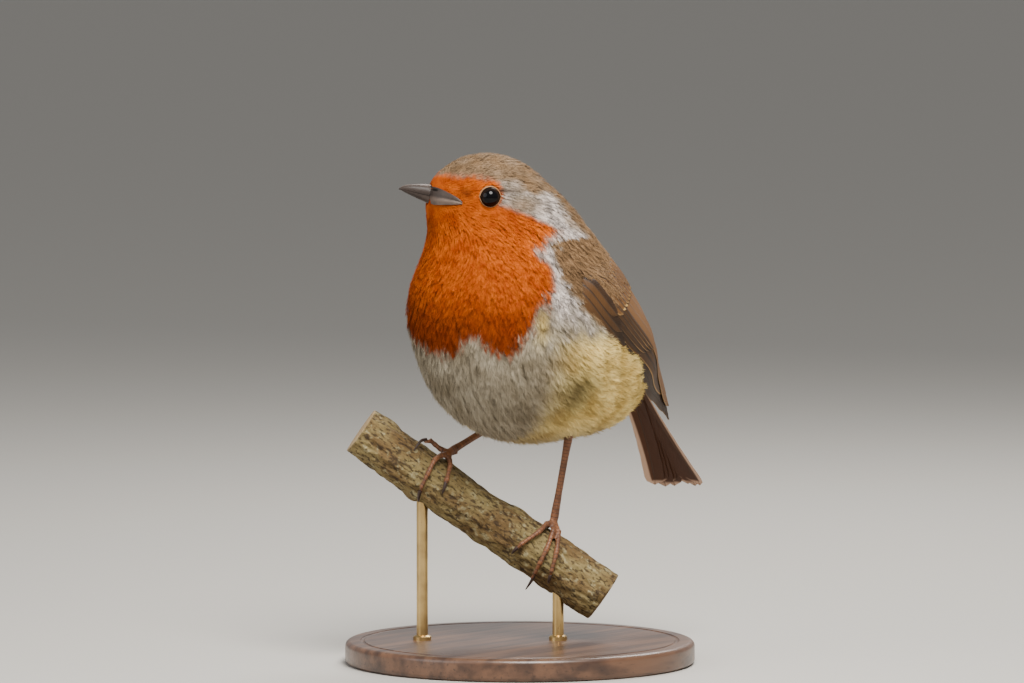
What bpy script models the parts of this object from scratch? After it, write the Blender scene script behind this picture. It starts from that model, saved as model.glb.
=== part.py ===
"""European robin perched on a cut length of branch, as a still, life-size display model.

Frame: metres, +Z up, origin at the centre of the stand base's underside. The bird's trunk faces -Y
and its left side is +X; its head is turned to its own right. The branch slopes down to the right
of a viewer who stands VIEW_YAW degrees round from the bird's front, towards its left.
"""

import math

import bmesh
import bpy
from mathutils import Matrix, Quaternion, Vector
import numpy as np

MM = 0.001
GAP = 0.3 * MM
UP = Vector((0.0, 0.0, 1.0))

# ---------------------------------------------------------------- driving sizes
VIEW_YAW = math.radians(38)
MIDLINE_X = 1.5 * MM

BASE_RADIUS = 46 * MM
BASE_THICKNESS = 6 * MM
BASE_EDGE = 1.4 * MM
ROD_RADIUS = 1.5 * MM
ROD_SINK = 3.5 * MM
ROD_PLACES = (-31 * MM, 12 * MM)

BRANCH_RADIUS = 6.7 * MM
BRANCH_SLOPE = math.radians(34.9)
BRANCH_HEIGHT = 32.3 * MM
BRANCH_START = -51 * MM
BRANCH_END = 26.5 * MM

HEAD_YAW = math.radians(42)
HEAD_CENTRE = Vector((1.4, -12.0, 124.3)) * MM
TRUNK_CENTRE = Vector((1.5, 1.0, 88.0)) * MM
NECK_CENTRE = Vector((1.5, -6.0, 113.0)) * MM
BLEND = 7 * MM

EYE_RADIUS = 2.8 * MM
EYE_FORWARD = 3.5 * MM
EYE_HEIGHT = 0.2 * MM
EYE_SINK = 1.2 * MM
EYE_TURN = math.radians(20)

BILL_TIP = 25.8 * MM
BILL_ROOT = 11.5 * MM
BILL_HALF_WIDTH = 2.5 * MM

TAIL_LENGTH = 42 * MM
TAIL_SLOPE = math.radians(53)
TAIL_ROOT_WIDTH = 10 * MM
TAIL_TIP_WIDTH = 21.5 * MM
TAIL_TIP = Vector((2.2, 66.2, 43.3)) * MM
TAIL_FEATHERS = 6

SHOULDER_ROUNDING = 0.14

SHANK_RADIUS = 0.85 * MM
TOE_RADIUS = 0.72 * MM
PAD_RADIUS = 1.7 * MM

# ---------------------------------------------------------------- directions
VIEW_RIGHT = Vector((math.cos(VIEW_YAW), math.sin(VIEW_YAW), 0.0))
VIEW_NEAR = Vector((math.sin(VIEW_YAW), -math.cos(VIEW_YAW), 0.0))
BRANCH_ALONG = VIEW_RIGHT * math.cos(BRANCH_SLOPE) - UP * math.sin(BRANCH_SLOPE)
BRANCH_UP = VIEW_RIGHT * math.sin(BRANCH_SLOPE) + UP * math.cos(BRANCH_SLOPE)
BRANCH_CENTRE = Vector((0.0, 0.0, BRANCH_HEIGHT))
HEAD_FORWARD = Vector((-math.sin(HEAD_YAW), -math.cos(HEAD_YAW), 0.0))
HEAD_LEFT = UP.cross(HEAD_FORWARD)

# ---------------------------------------------------------------- materials
MATERIALS = {
    "crown_brown": ((0.27, 0.19, 0.11), 0.8, 0.0),
    "breast_orange": ((0.80, 0.24, 0.03), 0.8, 0.0),
    "belly_grey": ((0.55, 0.50, 0.42), 0.85, 0.0),
    "wing_brown": ((0.22, 0.14, 0.07), 0.7, 0.0),
    "tail_brown": ((0.12, 0.075, 0.05), 0.65, 0.0),
    "bill_horn": ((0.05, 0.035, 0.03), 0.35, 0.0),
    "claw_horn": ((0.07, 0.045, 0.04), 0.4, 0.0),
    "leg_skin": ((0.30, 0.15, 0.11), 0.5, 0.0),
    "eye_black": ((0.008, 0.006, 0.006), 0.05, 0.0),
    "bark": ((0.35, 0.27, 0.15), 0.9, 0.0),
    "stand_wood": ((0.10, 0.05, 0.03), 0.4, 0.0),
    "stand_brass": ((0.62, 0.43, 0.18), 0.3, 1.0),
}


def material(name):
    """The Principled material of that name, made on first use."""
    found = bpy.data.materials.get(name)
    if found:
        return found
    colour, roughness, metallic = MATERIALS[name]
    made = bpy.data.materials.new(name)
    made.use_nodes = True
    shader = made.node_tree.nodes["Principled BSDF"]
    shader.inputs["Base Color"].default_value = (*colour, 1.0)
    shader.inputs["Roughness"].default_value = roughness
    shader.inputs["Metallic"].default_value = metallic
    made.diffuse_color = (*colour, 1.0)
    return made


def clear_scene():
    """Removes what the startup file holds and makes the part's collections."""
    for obj in list(bpy.data.objects):
        bpy.data.objects.remove(obj)
    made = []
    for name in ("european_robin", "cutters"):
        collection = bpy.data.collections.new(name)
        bpy.context.scene.collection.children.link(collection)
        made.append(collection)
    return made


def finish_mesh(name, bm, surface, sharp_angle=35):
    """Turns a bmesh into a smooth-shaded object of the part."""
    bmesh.ops.recalc_face_normals(bm, faces=bm.faces)
    if bm.calc_volume(signed=True) < 0:
        bmesh.ops.reverse_faces(bm, faces=bm.faces)
    mesh = bpy.data.meshes.new(name)
    bm.to_mesh(mesh)
    bm.free()
    mesh.shade_smooth()
    mesh.set_sharp_from_angle(angle=math.radians(sharp_angle))
    mesh.materials.append(material(surface))
    obj = bpy.data.objects.new(name, mesh)
    PART.objects.link(obj)
    return obj


# ---------------------------------------------------------------- the body's form
class Lobe:
    """One rounded mass of the body: an ellipsoid with its own turn."""

    def __init__(self, centre, half_sizes, yaw=0.0, pitch=0.0):
        """centre and half_sizes are in millimetres; pitch tips the front end (-Y) up."""
        turn = Quaternion(UP, yaw) @ Quaternion((1.0, 0.0, 0.0), -pitch)
        self.centre = np.array(centre, float) * MM
        self.half = np.array(half_sizes, float) * MM
        self.to_local = np.array(turn.to_matrix().transposed())

    def distance(self, points):
        """Signed distance of each point, near enough close to the surface."""
        local = (points - self.centre) @ self.to_local.T
        scaled = np.linalg.norm(local / self.half, axis=1)
        steep = np.linalg.norm(local / self.half**2, axis=1)
        return scaled * (scaled - 1.0) / np.maximum(steep, 1e-9)


def head_place(forward, left, height):
    """A point of the turned head, in millimetres from its centre."""
    at = HEAD_CENTRE / MM + HEAD_FORWARD * forward + HEAD_LEFT * left + UP * height
    return tuple(at)


def body_lobes():
    """The masses that blend into the feathered body, from the crown to the rump."""
    x = MIDLINE_X / MM
    yaw = -HEAD_YAW
    tip_up = math.radians
    lobes = [
        Lobe(head_place(2.6, 0, 0.0), (11.2, 14.8, 11.5), yaw),
        Lobe(head_place(11.8, 0, -1.6), (5.0, 5.8, 5.4), yaw),
        Lobe(head_place(7.2, 0, -9.5), (9.4, 9.6, 8.6), yaw),
        Lobe(head_place(-8.0, 0, -8.5), (12.5, 13.0, 11.5), yaw),
        Lobe((x, -6.0, 107.0), (20.0, 20.5, 14.5), yaw * 0.5),
        Lobe((x, -8.0, 95.5), (26.3, 26.3, 20.5)),
        Lobe((x, 0.5, 83.3), (27.0, 31.0, 25.2), 0, tip_up(5)),
        Lobe((x, 8.5, 100.0), (20.0, 24.5, 15.5), 0, tip_up(45)),
        Lobe((x, 25.0, 83.0), (15.5, 17.0, 11.5), 0, tip_up(48)),
        Lobe((x, 24.0, 73.0), (13.5, 16.5, 10.5), 0, tip_up(20)),
        Lobe((x + 0.5, 38.5, 76.0), (9.0, 12.5, 6.0), 0, tip_up(53)),
    ]
    for side in (-1, 1):
        lobes.append(Lobe((x + side * 9.5, 15.5, 75.5), (13.0, 17.5, 14.5)))
    return lobes


def body_distance(points):
    """Signed distance from the blended body: the smooth union of its lobes."""
    joined = None
    for lobe in LOBES:
        found = lobe.distance(points)
        if joined is None:
            joined = found
            continue
        share = np.clip(0.5 + 0.5 * (found - joined) / BLEND, 0.0, 1.0)
        joined = found + (joined - found) * share - BLEND * share * (1.0 - share)
    return joined


def body_slope(points):
    """Outward unit directions of the body's distance."""
    step = 0.1 * MM
    parts = []
    for axis in np.eye(3):
        parts.append(body_distance(points + axis * step) - body_distance(points - axis * step))
    slope = np.stack(parts, axis=1)
    return slope / np.maximum(np.linalg.norm(slope, axis=1, keepdims=True), 1e-12)


def outside_body(points, clearance):
    """The points, moved out where needed so that each keeps the clearance from the body."""
    moved = points.copy()
    for _ in range(20):
        short = np.maximum(clearance - body_distance(moved), 0.0)
        moved += body_slope(moved) * short[:, None]
    return moved


def cast_on_body(centre, axis, segments, rings):
    """A ball about the centre, poles along the axis, whose points lie on the body's surface."""
    bm = bmesh.new()
    bmesh.ops.create_uvsphere(bm, u_segments=segments, v_segments=rings, radius=1.0)
    turn = UP.rotation_difference(axis)
    rays = np.array([turn @ v.co.normalized() for v in bm.verts])
    middle = np.array(centre)
    near = np.zeros(len(rays))
    far = np.full(len(rays), 70 * MM)
    for _ in range(34):
        half = (near + far) / 2
        inside = body_distance(middle + rays * half[:, None]) < 0
        near = np.where(inside, half, near)
        far = np.where(inside, far, half)
    for vert, place in zip(bm.verts, middle + rays * near[:, None]):
        vert.co = place
    return bm


def keep_above(bm, point, normal):
    """Cuts the bmesh by a plane and closes it, keeping the side that the normal points to."""
    cut = bmesh.ops.bisect_plane(
        bm,
        geom=bm.verts[:] + bm.edges[:] + bm.faces[:],
        plane_co=point,
        plane_no=normal,
        clear_inner=True,
    )
    rim = [part for part in cut["geom_cut"] if isinstance(part, bmesh.types.BMEdge)]
    bmesh.ops.contextual_create(bm, geom=rim)


# ---------------------------------------------------------------- shared builders
def loft(rings):
    """A closed bmesh through rings of points, each ring the same count, with flat ends."""
    bm = bmesh.new()
    loops = [[bm.verts.new(point) for point in ring] for ring in rings]
    count = len(loops[0])
    for low, high in zip(loops, loops[1:]):
        for i in range(count):
            j = (i + 1) % count
            bm.faces.new((low[i], low[j], high[j], high[i]))
    bm.faces.new(loops[0][::-1])
    bm.faces.new(loops[-1])
    return bm


def blade(steps_along, steps_across, inner, outer):
    """A closed thin solid between two surfaces given as functions of (along, across), each 0 to 1."""
    bm = bmesh.new()
    bmesh.ops.create_grid(bm, x_segments=steps_along, y_segments=steps_across, size=0.5)
    places = np.array([(v.co.x + 0.5, v.co.y + 0.5) for v in bm.verts])
    first = list(bm.verts)
    made = bmesh.ops.extrude_face_region(bm, geom=bm.faces[:])["geom"]
    second = [part for part in made if isinstance(part, bmesh.types.BMVert)]
    order = {tuple(v.co): i for i, v in enumerate(first)}
    index = [order[tuple(v.co)] for v in second]
    for vert, place in zip(first, inner(places)):
        vert.co = place
    for vert, place in zip(second, outer(places[index])):
        vert.co = place
    return bm


def tube(name, points, radii, surface, resolution=2):
    """A round tapered tube along the points, as a mesh object with closed ends."""
    curve = bpy.data.curves.new(name, "CURVE")
    curve.dimensions = "3D"
    curve.bevel_depth = 1.0
    curve.bevel_resolution = resolution
    curve.use_fill_caps = True
    spline = curve.splines.new("POLY")
    spline.points.add(len(points) - 1)
    for knot, place, radius in zip(spline.points, points, radii):
        knot.co = (*place, 1.0)
        knot.radius = radius
    holder = bpy.data.objects.new(name + "_line", curve)
    PART.objects.link(holder)
    graph = bpy.context.evaluated_depsgraph_get()
    mesh = bpy.data.meshes.new_from_object(holder.evaluated_get(graph))
    bm = bmesh.new()
    bm.from_mesh(mesh)
    bmesh.ops.remove_doubles(bm, verts=bm.verts, dist=1e-6)
    bpy.data.objects.remove(holder)
    bpy.data.meshes.remove(mesh)
    return finish_mesh(name, bm, surface)


def smooth_path(knots, count):
    """Points spread evenly by parameter along a smooth curve through the knots."""
    knots = [Vector(knot) for knot in knots]
    ends = [2 * knots[0] - knots[1], *knots, 2 * knots[-1] - knots[-2]]
    spans = len(knots) - 1
    path = []
    for i in range(count):
        place = i * spans / (count - 1)
        k = min(int(place), spans - 1)
        t = place - k
        a, b, c, d = ends[k : k + 4]
        path.append(
            0.5 * ((2 * b) + (c - a) * t + (2 * a - 5 * b + 4 * c - d) * t**2 + (3 * b - a - 3 * c + d) * t**3)
        )
    return path


def carve(target, pieces, clearance=GAP):
    """Cuts room for the pieces out of the target, the clearance wider than each piece."""
    for piece in pieces:
        bm = bmesh.new()
        bm.from_mesh(piece.data)
        bm.normal_update()
        grown = [vert.co + vert.normal * clearance for vert in bm.verts]
        for vert, place in zip(bm.verts, grown):
            vert.co = place
        mesh = bpy.data.meshes.new(piece.name + "_room")
        bm.to_mesh(mesh)
        bm.free()
        cutter = bpy.data.objects.new(piece.name + "_room", mesh)
        cutter.hide_render = True
        cutter.display_type = "WIRE"
        CUTTERS.objects.link(cutter)
        cut = target.modifiers.new("room_for_" + piece.name, "BOOLEAN")
        cut.operation = "DIFFERENCE"
        cut.solver = "EXACT"
        cut.object = cutter


# ---------------------------------------------------------------- stand and branch
def build_base():
    """The stand's turned wooden disc, with its top and bottom edges eased."""
    bm = bmesh.new()
    bmesh.ops.create_cone(
        bm,
        cap_ends=True,
        segments=40,
        radius1=BASE_RADIUS,
        radius2=BASE_RADIUS,
        depth=BASE_THICKNESS,
        matrix=Matrix.Translation((0, 0, BASE_THICKNESS / 2)),
    )
    obj = finish_mesh("stand_base", bm, "stand_wood")
    bevel = obj.modifiers.new("eased_edge", "BEVEL")
    bevel.width = BASE_EDGE
    bevel.segments = 1
    return obj


def branch_line(along):
    """A point on the branch's own centre line, which bows a little along its length."""
    bow = 0.5 * MM * math.sin(along / (17 * MM))
    return BRANCH_CENTRE + BRANCH_ALONG * along + BRANCH_UP * bow


def branch_radius(along, turn):
    """The branch's radius, with its slow swellings and flats."""
    taper = 0.2 * MM * along / (50 * MM)
    swell = 0.16 * MM * math.sin(along / (5.2 * MM) + 1.0)
    flats = 0.14 * MM * math.sin(2 * turn + along / (14 * MM))
    ends = 0.9 * MM * math.exp(-((along - 21 * MM) / (5 * MM)) ** 2) * max(0.0, math.cos(turn - 2.6))
    return BRANCH_RADIUS + taper + swell + flats + ends


def branch_place(along, turn, height=0.0):
    """A point off the branch's bark: turn 0 is its upper side and grows towards the viewer."""
    out = BRANCH_UP * math.cos(turn) + VIEW_NEAR * math.sin(turn)
    return branch_line(along) + out * (branch_radius(along, turn) + height)


def build_branch(rods):
    """The cut length of branch, with sockets for the stand's rods."""
    sides, steps = 20, 18
    rings = []
    for i in range(steps + 1):
        along = BRANCH_START + (BRANCH_END - BRANCH_START) * i / steps
        rings.append([branch_place(along, math.tau * k / sides) for k in range(sides)])
    obj = finish_mesh("perch_branch", loft(rings), "bark", 50)
    carve(obj, rods)
    return obj


def build_rods():
    """The two rods that carry the branch, let into the base and into the branch's underside."""
    rods = []
    for number, place in enumerate(ROD_PLACES, 1):
        axis_point = branch_line(place)
        low = BASE_THICKNESS - ROD_SINK
        high = axis_point.z - BRANCH_RADIUS / math.cos(BRANCH_SLOPE) + ROD_SINK
        bm = bmesh.new()
        bmesh.ops.create_cone(
            bm,
            cap_ends=True,
            segments=20,
            radius1=ROD_RADIUS,
            radius2=ROD_RADIUS,
            depth=high - low,
            matrix=Matrix.Translation((axis_point.x, axis_point.y, (low + high) / 2)),
        )
        rods.append(finish_mesh(f"stand_rod_{number}", bm, "stand_brass"))
    return rods


# ---------------------------------------------------------------- head, bill and eyes
def bill_profile(share):
    """Heights of the bill's ridge, gape line and keel and its half width, at a share of its length."""
    gape = (-1.55 + 3.5 * share) * MM
    ridge = gape + 3.1 * MM * (1 - share**1.5) ** 0.75
    keel = gape - 2.9 * MM * (1 - share) ** 0.72
    width = BILL_HALF_WIDTH * (1 - share**1.5) ** 0.62
    return ridge, gape, keel, width


def build_mandible(name, upper):
    """One half of the bill: a lofted cone with a flat side along the gape."""
    rings = []
    for i in range(9):
        share = (i / 8) ** 0.8 * 0.985
        ridge, gape, keel, width = bill_profile(share)
        forward = BILL_ROOT + (BILL_TIP - BILL_ROOT) * share
        middle = HEAD_CENTRE + HEAD_FORWARD * forward
        rise = (ridge - gape) if upper else (keel - gape)
        edge = GAP / 2 if upper else -GAP / 2
        height = max(abs(rise), 0.5 * MM) - GAP / 2
        ring = []
        for k in range(11):
            turn = math.pi * k / 10
            side = HEAD_LEFT * max(width, 0.3 * MM) * math.cos(turn)
            lift = gape + edge + math.copysign(height, rise) * math.sin(turn) ** 0.85
            ring.append(middle + side + UP * lift)
        rings.append(ring)
    return finish_mesh(name, loft(rings), "bill_horn", 50)


def eye_axis(side):
    """The direction an eye looks in: out to its side and a little forwards."""
    return (HEAD_LEFT * side * math.cos(EYE_TURN) + HEAD_FORWARD * math.sin(EYE_TURN)).normalized()


def eye_centre(side):
    """The eyeball's centre, sunk behind the head's surface along its own axis."""
    start = HEAD_CENTRE + HEAD_FORWARD * (EYE_FORWARD - 3 * MM) + UP * EYE_HEIGHT
    axis = eye_axis(side)
    near, far = 0.0, 25 * MM
    for _ in range(40):
        half = (near + far) / 2
        inside = body_distance(np.array([start + axis * half]))[0] < 0
        near, far = (half, far) if inside else (near, half)
    return start + axis * (near - EYE_SINK)


def build_eye(name, side):
    """An eyeball, its pole on the eye's own axis."""
    bm = bmesh.new()
    bmesh.ops.create_uvsphere(bm, u_segments=14, v_segments=9, radius=EYE_RADIUS)
    turn = UP.rotation_difference(eye_axis(side)).to_matrix().to_4x4()
    bmesh.ops.transform(bm, matrix=Matrix.Translation(eye_centre(side)) @ turn, verts=bm.verts)
    return finish_mesh(name, bm, "eye_black")


# Planes that part head from neck and neck from trunk: a point on each, and the way to the head.
HEAD_PLANE = (Vector((1.4, -11.6, 116.5)) * MM, (UP - HEAD_FORWARD * 0.1).normalized())
NECK_PLANE = (Vector((1.5, -4.0, 108.0)) * MM, Vector((0.0, -0.12, 1.0)).normalized())


def build_head(fitted):
    """The feathered head, down to the top of the neck, with room for the bill and eyes."""
    point, way = HEAD_PLANE
    bm = cast_on_body(HEAD_CENTRE, HEAD_FORWARD, 26, 18)
    keep_above(bm, point + way * GAP / 2, way)
    obj = finish_mesh("head", bm, "crown_brown")
    carve(obj, fitted)
    return obj


def build_neck():
    """The short ring of neck between head and trunk."""
    upper, upper_way = HEAD_PLANE
    lower, lower_way = NECK_PLANE
    bm = cast_on_body(NECK_CENTRE, UP, 36, 20)
    keep_above(bm, lower + lower_way * GAP / 2, lower_way)
    keep_above(bm, upper - upper_way * GAP / 2, -upper_way)
    return finish_mesh("neck", bm, "breast_orange")


def build_trunk(fitted):
    """Breast, belly, back and rump as one mass, with room for the legs and tail."""
    point, way = NECK_PLANE
    bm = cast_on_body(TRUNK_CENTRE, UP, 34, 26)
    keep_above(bm, point - way * GAP / 2, -way)
    obj = finish_mesh("trunk", bm, "belly_grey")
    carve(obj, fitted)
    return obj


# ---------------------------------------------------------------- wings and tail
def wing_edge(knots):
    """A wing edge as a function of the share of its length, for the left wing, off the midline."""
    path = np.array(smooth_path([Vector(knot) * MM for knot in knots], 33))

    def place(share):
        position = np.clip(share, 0, 1) * 32
        low = np.minimum(position.astype(int), 31)
        part = (position - low)[:, None]
        return path[low] * (1 - part) + path[low + 1] * part

    return place


def build_wing(name, side):
    """A folded wing: a thin blade over back and flank, from the shoulder to the primary tips."""
    back_edge = wing_edge(((10, 8, 108), (6, 22, 101), (3, 38, 88), (3.5, 49, 76), (6, 56, 61)))
    flank_edge = wing_edge(
        ((21, -13, 104), (25, -4, 93), (25.3, 8, 84), (22.5, 22, 76), (16.5, 34, 69), (10.8, 44.5, 65.5), (6, 56, 60.5))
    )

    def thickness(along, across):
        middle = 1.7 * MM * (1 - np.abs(2 * across - 1) ** 4) * (1 - along) ** 0.3
        return 0.55 * MM + middle * np.minimum(1, 6 * along)

    def outer(places):
        along, across = places[:, 0], places[:, 1]
        rounded = along + SHOULDER_ROUNDING * (1 - along) * (2 * across - 1) ** 4
        back, flank = back_edge(rounded), flank_edge(rounded)
        turn = across * math.pi / 2
        line = back + (flank - back) * across[:, None]
        line[:, 0] = MIDLINE_X + side * (back[:, 0] + (flank - back)[:, 0] * np.sin(turn))
        line[:, 1] = back[:, 1] + (flank - back)[:, 1] * (1 - np.cos(turn))
        return outside_body(line, 2 * GAP + thickness(along, across))

    def inner(places):
        skin = outer(places)
        depth = thickness(places[:, 0], places[:, 1])
        return outside_body(skin - body_slope(skin) * depth[:, None], 2 * GAP)

    return finish_mesh(name, blade(17, 9, inner, outer), "wing_brown")


def build_tail():
    """The closed tail: a thin plate, roofed across, ending in the notched feather tips."""
    along_way = Vector((0.0, math.cos(TAIL_SLOPE), -math.sin(TAIL_SLOPE)))
    above = Vector((0.0, math.sin(TAIL_SLOPE), math.cos(TAIL_SLOPE)))
    sideways = Vector((1.0, 0.0, 0.0))

    def surface(places, lift):
        made = []
        for along, across in places:
            offset = 2 * across - 1
            feather = abs(math.sin(math.pi * TAIL_FEATHERS * across))
            notch = 1.6 * MM * (1 - abs(offset)) + 0.9 * MM * (1 - feather) + 1.5 * MM * abs(offset) ** 6
            reach = TAIL_LENGTH * (along - 1) - notch * along**6
            width = TAIL_ROOT_WIDTH + (TAIL_TIP_WIDTH - TAIL_ROOT_WIDTH) * along**1.3
            roof = -2.6 * MM * offset**2 * (0.4 + 0.6 * along)
            thickness = (1.0 - 0.3 * along) * MM
            place = TAIL_TIP + along_way * reach + sideways * (width / 2 * offset)
            made.append(place + above * (roof + lift * thickness))
        return made

    bm = blade(6, 24, lambda p: surface(p, -0.5), lambda p: surface(p, 0.5))
    return finish_mesh("tail", bm, "tail_brown")


# ---------------------------------------------------------------- legs and feet
# Each foot is set out on the branch: along it in mm, turn round it in degrees, height off it in mm.
FEET = {
    "right": {
        "pad": (-28.8, 6, 2.1),
        "ankle": (-9.5, 0.3, 62.0),
        "toes": {
            "outer": ((-30.9, 8, 1.9), (-32.9, 8, 2.1), (-34.8, 10, 2.5)),
            "middle": ((-30.0, 22, 1.5), (-30.8, 44, 1.4), (-30.4, 75, 1.1), (-29.7, 106, 1.05)),
            "inner": ((-27.4, 21, 1.5), (-26.6, 32, 1.2), (-25.4, 64, 1.05)),
            "hind": ((-28.2, -15, 1.5), (-27.4, -48, 1.1), (-26.6, -88, 1.05)),
        },
        "claws": {
            "outer": ((-35.4, 14, 2.3), (-36.7, 28, 1.9), (-36.7, 52, 0.6)),
            "middle": ((-29.5, 112, 0.95), (-28.6, 130, 1.0), (-27.8, 147, 0.5)),
            "inner": ((-25.2, 70, 0.95), (-24.6, 82, 1.1), (-24.2, 94, 0.5)),
            "hind": ((-26.4, -94, 0.95), (-25.9, -112, 1.3), (-25.6, -130, 0.5)),
        },
    },
    "left": {
        "pad": (4.4, 6, 2.1),
        "ankle": (13.0, 4.6, 62.0),
        "toes": {
            "inner": ((3.0, 21, 1.5), (2.4, 50, 1.2), (0.2, 92, 1.05)),
            "middle": ((5.4, 30, 1.5), (6.6, 72, 1.2), (7.2, 100, 1.1), (7.8, 126, 1.05)),
            "outer": ((6.7, 20, 1.5), (9.2, 66, 1.1), (11.0, 103, 1.05)),
            "hind": ((4.3, -15, 1.5), (3.6, -52, 1.1), (3.0, -92, 1.05)),
        },
        "claws": {
            "inner": ((0.0, 98, 0.95), (-0.2, 109, 1.1), (-0.1, 121, 0.5)),
            "middle": ((8.0, 132, 1.0), (8.3, 146, 1.9), (8.4, 161, 3.6)),
            "outer": ((11.3, 109, 0.95), (11.9, 122, 1.1), (12.3, 134, 0.5)),
            "hind": ((2.8, -98, 0.95), (2.5, -114, 1.3), (2.2, -130, 0.5)),
        },
    },
}


def off_branch(knot):
    """A foot's knot as a point in the part's frame."""
    along, turn, height = knot
    return branch_place(along * MM, math.radians(turn), height * MM)


def knuckled(count, radius, joints):
    """Radii along a toe that swell at its joints and thin towards the claw."""
    radii = []
    for i in range(count):
        share = i / (count - 1)
        swell = 0.13 * radius * math.cos(math.tau * joints * share)
        radii.append(radius * (1.0 - 0.22 * share) + swell)
    return radii


def build_foot(side):
    """A leg from where it leaves the belly down: shank, pad, four toes and four claws."""
    layout = FEET[side]
    pad = off_branch(layout["pad"])
    ankle = Vector(layout["ankle"]) * MM
    bm = bmesh.new()
    bmesh.ops.create_uvsphere(bm, u_segments=10, v_segments=6, radius=PAD_RADIUS)
    lie = Matrix.Translation(pad) @ UP.rotation_difference((ankle - pad).normalized()).to_matrix().to_4x4()
    bmesh.ops.transform(bm, matrix=lie, verts=bm.verts)
    pieces = [finish_mesh(f"foot_pad_{side}", bm, "leg_skin")]
    for toe, knots in layout["toes"].items():
        path = smooth_path([off_branch(knot) for knot in knots], 7)
        radii = knuckled(7, TOE_RADIUS, len(knots) - 1)
        pieces.append(tube(f"toe_{side}_{toe}", path, radii, "leg_skin"))
    for toe, knots in layout["claws"].items():
        path = smooth_path([off_branch(knot) for knot in knots], 5)
        radii = [0.52 * MM * (1 - i / 4) ** 0.7 + 0.14 * MM for i in range(5)]
        pieces.append(tube(f"claw_{side}_{toe}", path, radii, "claw_horn", 1))
    return pieces


def build_shank(side):
    """The bare shank, from just above the foot's pad into the belly feathers."""
    layout = FEET[side]
    pad = off_branch(layout["pad"])
    ankle = Vector(layout["ankle"]) * MM
    way = (ankle - pad).normalized()
    foot_end = pad + way * (PAD_RADIUS + GAP)
    count = 9
    path = [foot_end.lerp(ankle, i / (count - 1)) for i in range(count)]
    radii = []
    for i in range(count):
        share = i / (count - 1)
        flare = 0.35 * math.exp(-((share / 0.12) ** 2)) + 0.4 * math.exp(-(((1 - share) / 0.2) ** 2))
        radii.append(SHANK_RADIUS * (0.95 + flare))
    return tube(f"shank_{side}", path, radii, "leg_skin")


# ---------------------------------------------------------------- assembly
def main():
    """Builds the robin, its perch and its stand."""
    base = build_base()
    rods = build_rods()
    carve(base, rods)
    build_branch(rods)

    bill = [build_mandible("bill_upper", True), build_mandible("bill_lower", False)]
    eyes = [build_eye("eye_left", 1), build_eye("eye_right", -1)]
    build_head(bill + eyes)
    build_neck()

    tail = build_tail()
    shanks = [build_shank(side) for side in FEET]
    for side in FEET:
        build_foot(side)
    build_trunk([tail, *shanks])
    build_wing("wing_left", 1)
    build_wing("wing_right", -1)


PART, CUTTERS = clear_scene()
LOBES = body_lobes()
main()
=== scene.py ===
"""A life-size european robin on a cut branch and a display stand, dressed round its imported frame.

Frame: metres, +Z up, origin at the centre of the base's underside. The trunk faces -Y and its
left side is +X; the head is turned to the bird's own right.
"""

import logging
import math
from dataclasses import dataclass, field
from enum import Enum
from functools import partialmethod
from typing import Any, Iterable, Optional, Sequence

import bmesh
import bpy
import numpy as np
from mathutils import Matrix, Vector
from mathutils.bvhtree import BVHTree
from mathutils.kdtree import KDTree


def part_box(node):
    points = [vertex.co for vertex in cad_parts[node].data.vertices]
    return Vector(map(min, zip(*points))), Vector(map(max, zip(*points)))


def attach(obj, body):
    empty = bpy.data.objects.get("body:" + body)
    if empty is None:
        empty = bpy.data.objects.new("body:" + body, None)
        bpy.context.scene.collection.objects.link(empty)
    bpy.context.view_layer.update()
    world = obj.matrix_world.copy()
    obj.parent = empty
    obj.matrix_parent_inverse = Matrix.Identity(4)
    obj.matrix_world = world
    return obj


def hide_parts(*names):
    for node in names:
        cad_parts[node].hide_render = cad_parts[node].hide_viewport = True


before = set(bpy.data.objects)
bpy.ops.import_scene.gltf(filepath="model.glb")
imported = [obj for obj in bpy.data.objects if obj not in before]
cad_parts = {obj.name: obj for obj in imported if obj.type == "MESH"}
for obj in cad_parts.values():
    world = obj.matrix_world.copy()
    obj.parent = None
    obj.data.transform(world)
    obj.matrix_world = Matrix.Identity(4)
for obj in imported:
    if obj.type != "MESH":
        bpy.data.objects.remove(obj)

LOG = logging.getLogger("robin")
MM = 0.001
UP = Vector((0.0, 0.0, 1.0))
ROOT_BODY = "root"

Colour = tuple[float, float, float]
Numbers = np.ndarray
Draft = bmesh.types.BMesh
Piece = bpy.types.Object


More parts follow.
